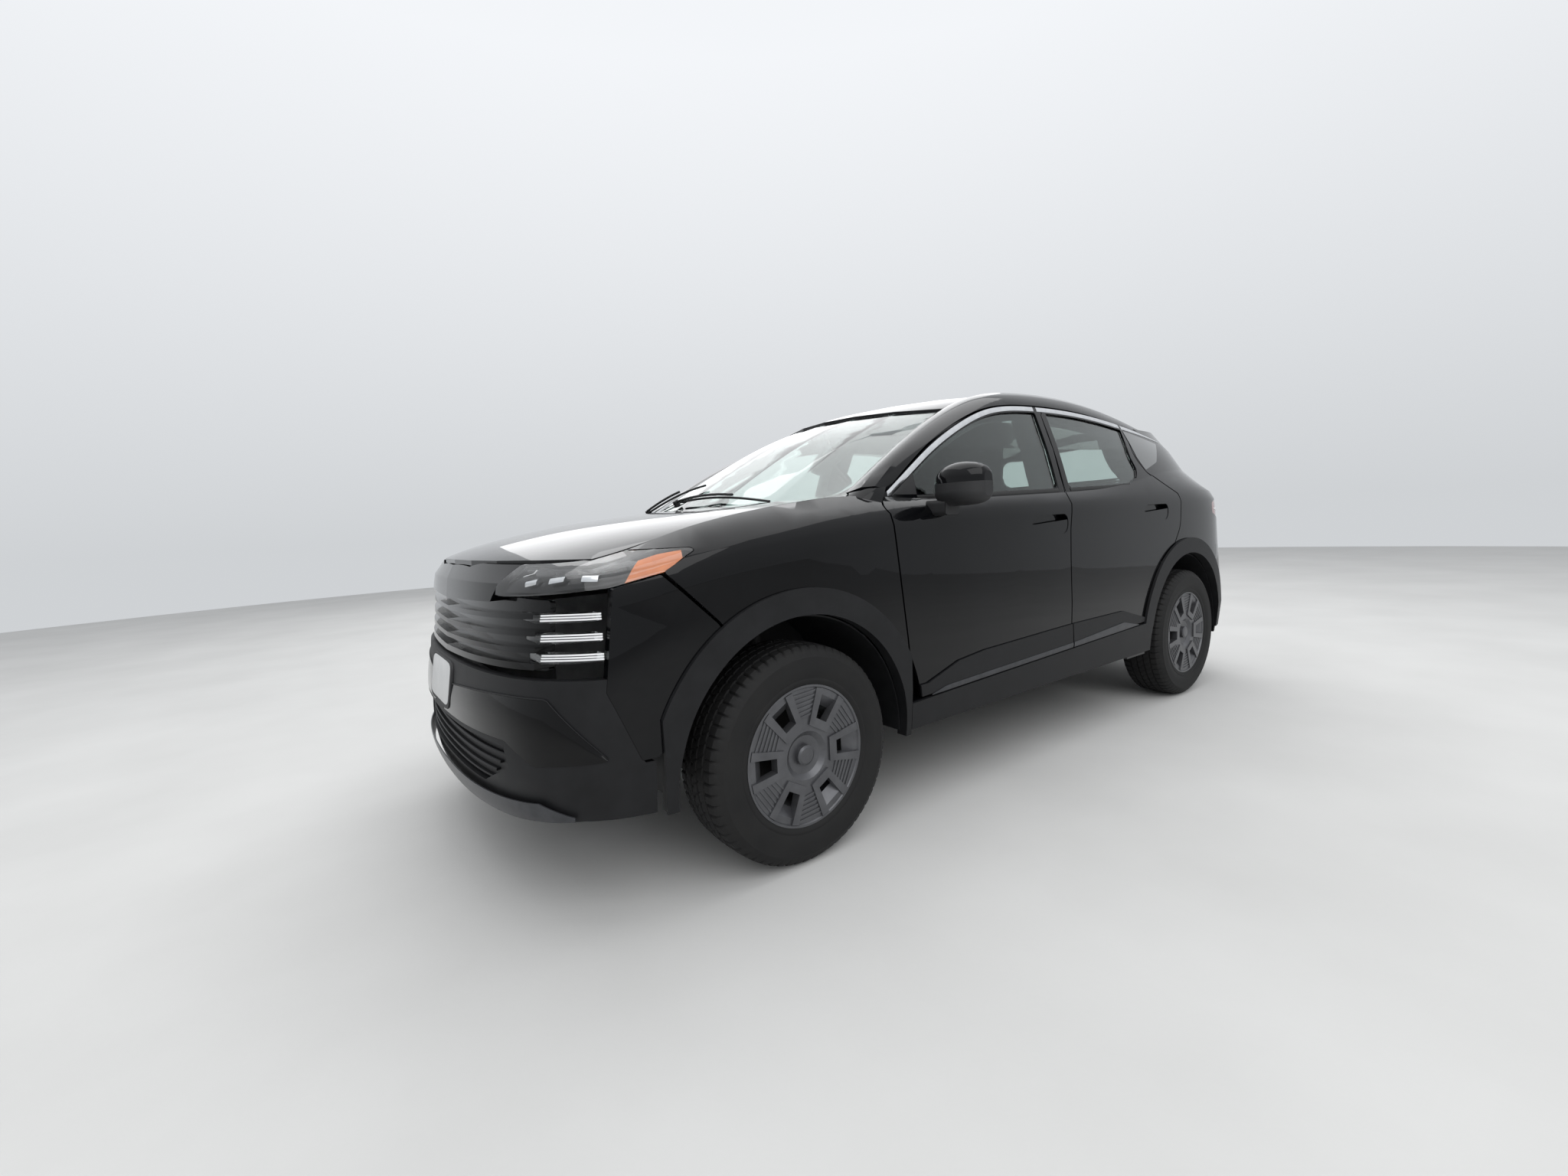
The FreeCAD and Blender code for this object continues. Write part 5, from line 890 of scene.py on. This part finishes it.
def soft_corners(count, power):
    """Outline of a rectangle with round corners, from -1 to 1 both ways."""
    turns = np.arange(count) * 2 * math.pi / count
    return [[math.copysign(abs(c) ** power, c) for c in (math.cos(t), math.sin(t))] for t in turns]


def rounded_plate(name, centre, half_y, half_z, lean, thick, finish, body="body"):
    """Thin upright plate with round corners, thick from its front face at centre."""
    points, count, lean = [], 40, math.radians(lean)
    for depth, inset in ((0.0, 0.002), (thick * 0.2, 0.0), (thick * 0.8, 0.0), (thick, 0.002)):
        for c, s in soft_corners(count, 0.28):
            z = s * (half_z - inset)
            points.append((centre[0] + z * math.sin(lean) + depth, centre[1] + c * (half_y - inset),
                           centre[2] + z * math.cos(lean)))
    return piece(name, points, capped_faces(4, count), finish, body)


# Plates in the cabin: name, middle of the front face, half width and height, lean, thickness, finish
CABIN_PLATES = (
    ("centre_screen", (-0.548, -0.02, 1.000), 0.120, 0.058, 10, 0.018, "blank_screen"),
    ("air_vent_1", (-0.520, -0.60, 0.930), 0.048, 0.026, 8, 0.016, "gloss_black"),
    ("air_vent_2", (-0.520, -0.19, 0.930), 0.048, 0.026, 8, 0.016, "gloss_black"),
    ("air_vent_3", (-0.520, 0.15, 0.930), 0.048, 0.026, 8, 0.016, "gloss_black"),
    ("air_vent_4", (-0.520, 0.60, 0.930), 0.048, 0.026, 8, 0.016, "gloss_black"),
    ("instrument_panel", (-0.566, -0.370, 1.010), 0.150, 0.046, 14, 0.018, "blank_screen"),
    ("interior_mirror", (-0.405, 0.0, 1.405), 0.110, 0.030, 12, 0.024, "interior"),
)
MIRROR_STEM = ((-0.405, 0, 1.415), (-0.430, 0, 1.455), (-0.452, 0, 1.494))
NUMBER_PLATES = (("front_plate", (-2.160, 0, 0.598), 9, 1, "body"),
                 ("rear_plate", (2.137, 0, 0.905), -4, -1, "tailgate"))
WIPERS = (((-1150, 545), (-1085, 20)), ((-1205, 60), (-1130, -500)))
MIRROR_SPLIT_Z, SHELL_T = 1.160, 0.0009
# Side mirror's glass: place, half width and half height
MIRROR_PANE = (-0.5925, 0.963, 1.156, 0.076, 0.055)


def cabin():
    """Blank screens, air vents and the interior mirror."""
    for row in CABIN_PLATES:
        rounded_plate(*row)
    rod("interior_mirror_stem", MIRROR_STEM, 0.009, "interior")


def wipers():
    """Two arms and blades resting low on the windscreen."""
    count = 30
    for k, ends in enumerate(WIPERS):
        run = polyline(ends, count)
        mirror = np.where(run[:, 1] > 0, -1.0, 1.0)
        points, normals = SCREEN.find(run * np.stack([np.ones(count), mirror], axis=1), (0, 1))
        points[:, 1] *= mirror
        normals[:, 1] *= mirror
        rise = 0.016 + 0.006 * np.sin(np.linspace(0, math.pi, count))[:, None]
        rod(f"wiper_blade_{k + 1}", (points + normals * 0.008)[2:], 0.0045, "matt_black")
        rod(f"wiper_arm_{k + 1}", (points + normals * rise)[:20], 0.005, "matt_black")
        foot = [points[0] + normals[0] * height for height in (0.022, 0.010, -0.004)]
        rod(f"wiper_foot_{k + 1}", foot, 0.013, "matt_black")


def blank_plates():
    """Plain number plates in their holders, front and rear."""
    for name, centre, lean, out, body in NUMBER_PLATES:
        rounded_plate(f"{name}_holder", centre, 0.166, 0.078, lean, 0.016 * out, "matt_black", body)
        face = (centre[0] - 0.0014 * out, 0, centre[2] + 0.003)
        rounded_plate(name, face, 0.152, 0.068, lean, 0.006 * out, "blank_plate", body)


def mirror_shell(side_name, side):
    """Matt lower shell over the mirror housing and the glass at its back."""
    body = f"front_door_{side_name}"
    shape = bmesh.new()
    shape.from_mesh(NODES[f"mirror_{side_name}"].data)
    everything = [*shape.verts, *shape.edges, *shape.faces]
    cut = (0, 0, MIRROR_SPLIT_Z)
    up = (0, 0, 1)
    bmesh.ops.bisect_plane(shape, geom=everything, plane_co=cut, plane_no=up, clear_outer=True)
    shape.normal_update()
    shape.verts.index_update()
    points = [vert.co + vert.normal * SHELL_T for vert in shape.verts]
    faces = [[vert.index for vert in face.verts] for face in shape.faces]
    shape.free()
    piece(f"mirror_lower_shell_{side_name}", points, faces, "matt_black", body)
    x, y, z, half_y, half_z = MIRROR_PANE
    rings = [(x + depth, side * (y + half_y * scale * c), z + half_z * scale * s)
             for depth, scale in ((0.0, 1.0), (0.004, 1.0), (0.005, 0.97)) for c, s in soft_corners(48, 0.5)]
    piece(f"mirror_glass_{side_name}", rings, capped_faces(3, 48), "mirror_glass", body)


for _, side in SIDES:
    for detail in (window_details, door_accents, nose_details, rear_details, pillar_garnish, pillar_foot):
        detail(side)
seats()
cabin()
wipers()
blank_plates()
for side_name, side in SIDES:
    mirror_shell(side_name, side)
for end, axle_x in (("front", -1313.0), ("rear", 1344.0)):
    for side_name, side in SIDES:
        tyre(f"{end}_tyre_{side_name}", axle_x, side, f"{end}_wheel_{side_name}")

# Camera

CAMERA = (-2.4921, -2.4046, 1.0588)
YAW, PITCH, ROLL = 0.9356, -0.1017, -0.0524
FOCAL_PIXELS, PHOTO_WIDTH, SENSOR = 849.45, 2048, 36.0
scene = bpy.context.scene
ahead = Vector((math.cos(PITCH) * math.cos(YAW), math.cos(PITCH) * math.sin(YAW), math.sin(PITCH)))
level = Vector((math.sin(YAW), -math.cos(YAW), 0))
above = level.cross(ahead)
across = level * math.cos(ROLL) + above * math.sin(ROLL)
upright = above * math.cos(ROLL) - level * math.sin(ROLL)
camera_data = bpy.data.cameras.new("camera")
camera_data.sensor_fit = "HORIZONTAL"
camera_data.sensor_width = SENSOR
camera_data.lens = FOCAL_PIXELS / PHOTO_WIDTH * SENSOR
camera_data.clip_start, camera_data.clip_end = 0.02, 200
camera = bpy.data.objects.new("camera", camera_data)
camera.matrix_world = Matrix.Translation(CAMERA) @ Matrix((across, upright, -ahead)).transposed().to_4x4()
scene.collection.objects.link(camera)
scene.camera = camera

# Stage and light

FLOOR_R, FLOOR_Z = 14, -0.0005
HORIZON, ZENITH = (0.62, 0.64, 0.66), (0.90, 0.92, 0.95)
DIFFUSE_LEVEL = 0.62
scene.view_settings.view_transform = "Standard"
floor_mesh = bpy.data.meshes.new("floor")
turns = [math.radians(a) for a in range(0, 360, 5)]
floor_mesh.from_pydata([(FLOOR_R * math.cos(t), FLOOR_R * math.sin(t), FLOOR_Z) for t in turns], [],
                       [tuple(range(len(turns)))])
floor = bpy.data.objects.new("floor", floor_mesh)
FLOOR_COLOURS = (0.60, 0.60, 0.59), (0.66, 0.66, 0.65)
floor_mesh.materials.append(surface("floor_pale", *FLOOR_COLOURS, 1.2, 0.85, 60, 0.0006))
scene.collection.objects.link(floor)

world = bpy.data.worlds.new("studio")
scene.world = world
world.use_nodes = True
studio = world.node_tree
background = studio.nodes["Background"]
split = add(studio, "SeparateXYZ")
sky = add(studio, "ValToRGB")
set_ramp(sky, (0.0, 0.55), (HORIZON, ZENITH))
studio.links.new(add(studio, "TexCoord").outputs["Generated"], split.inputs["Vector"])
studio.links.new(split.outputs["Z"], sky.inputs["Fac"])
studio.links.new(sky.outputs["Color"], background.inputs["Color"])
rays = add(studio, "LightPath")
seen = rays.outputs["Is Camera Ray"]
for ray in ("Is Glossy Ray", "Is Transmission Ray"):
    either = studio.nodes.new("ShaderNodeMath")
    either.operation = "MAXIMUM"
    studio.links.new(seen, either.inputs[0])
    studio.links.new(rays.outputs[ray], either.inputs[1])
    seen = either.outputs["Value"]
strength = add(studio, "MapRange", To_Min=DIFFUSE_LEVEL, To_Max=1.0)
studio.links.new(seen, strength.inputs["Value"])
studio.links.new(strength.outputs["Result"], background.inputs["Strength"])

# Name, place, aim, size and power
SOFTBOXES = (
    ("key", (-3.5, -6.5, 6.5), (0, 0, 0.6), (11, 7), 420),
    ("top", (0.5, 0.5, 7.5), (0, 0, 1.0), (10, 8), 330),
    ("fill", (3.5, 6.5, 5.5), (0, 0, 0.6), (10, 6), 240),
)
for name, place, aim, size, power in SOFTBOXES:
    light = bpy.data.lights.new(name, "AREA")
    light.shape = "RECTANGLE"
    light.size, light.size_y = size
    light.energy = power
    lamp = bpy.data.objects.new(name, light)
    turn = (Vector(aim) - Vector(place)).to_track_quat("-Z", "Y").to_matrix().to_4x4()
    lamp.matrix_world = Matrix.Translation(place) @ turn
    scene.collection.objects.link(lamp)
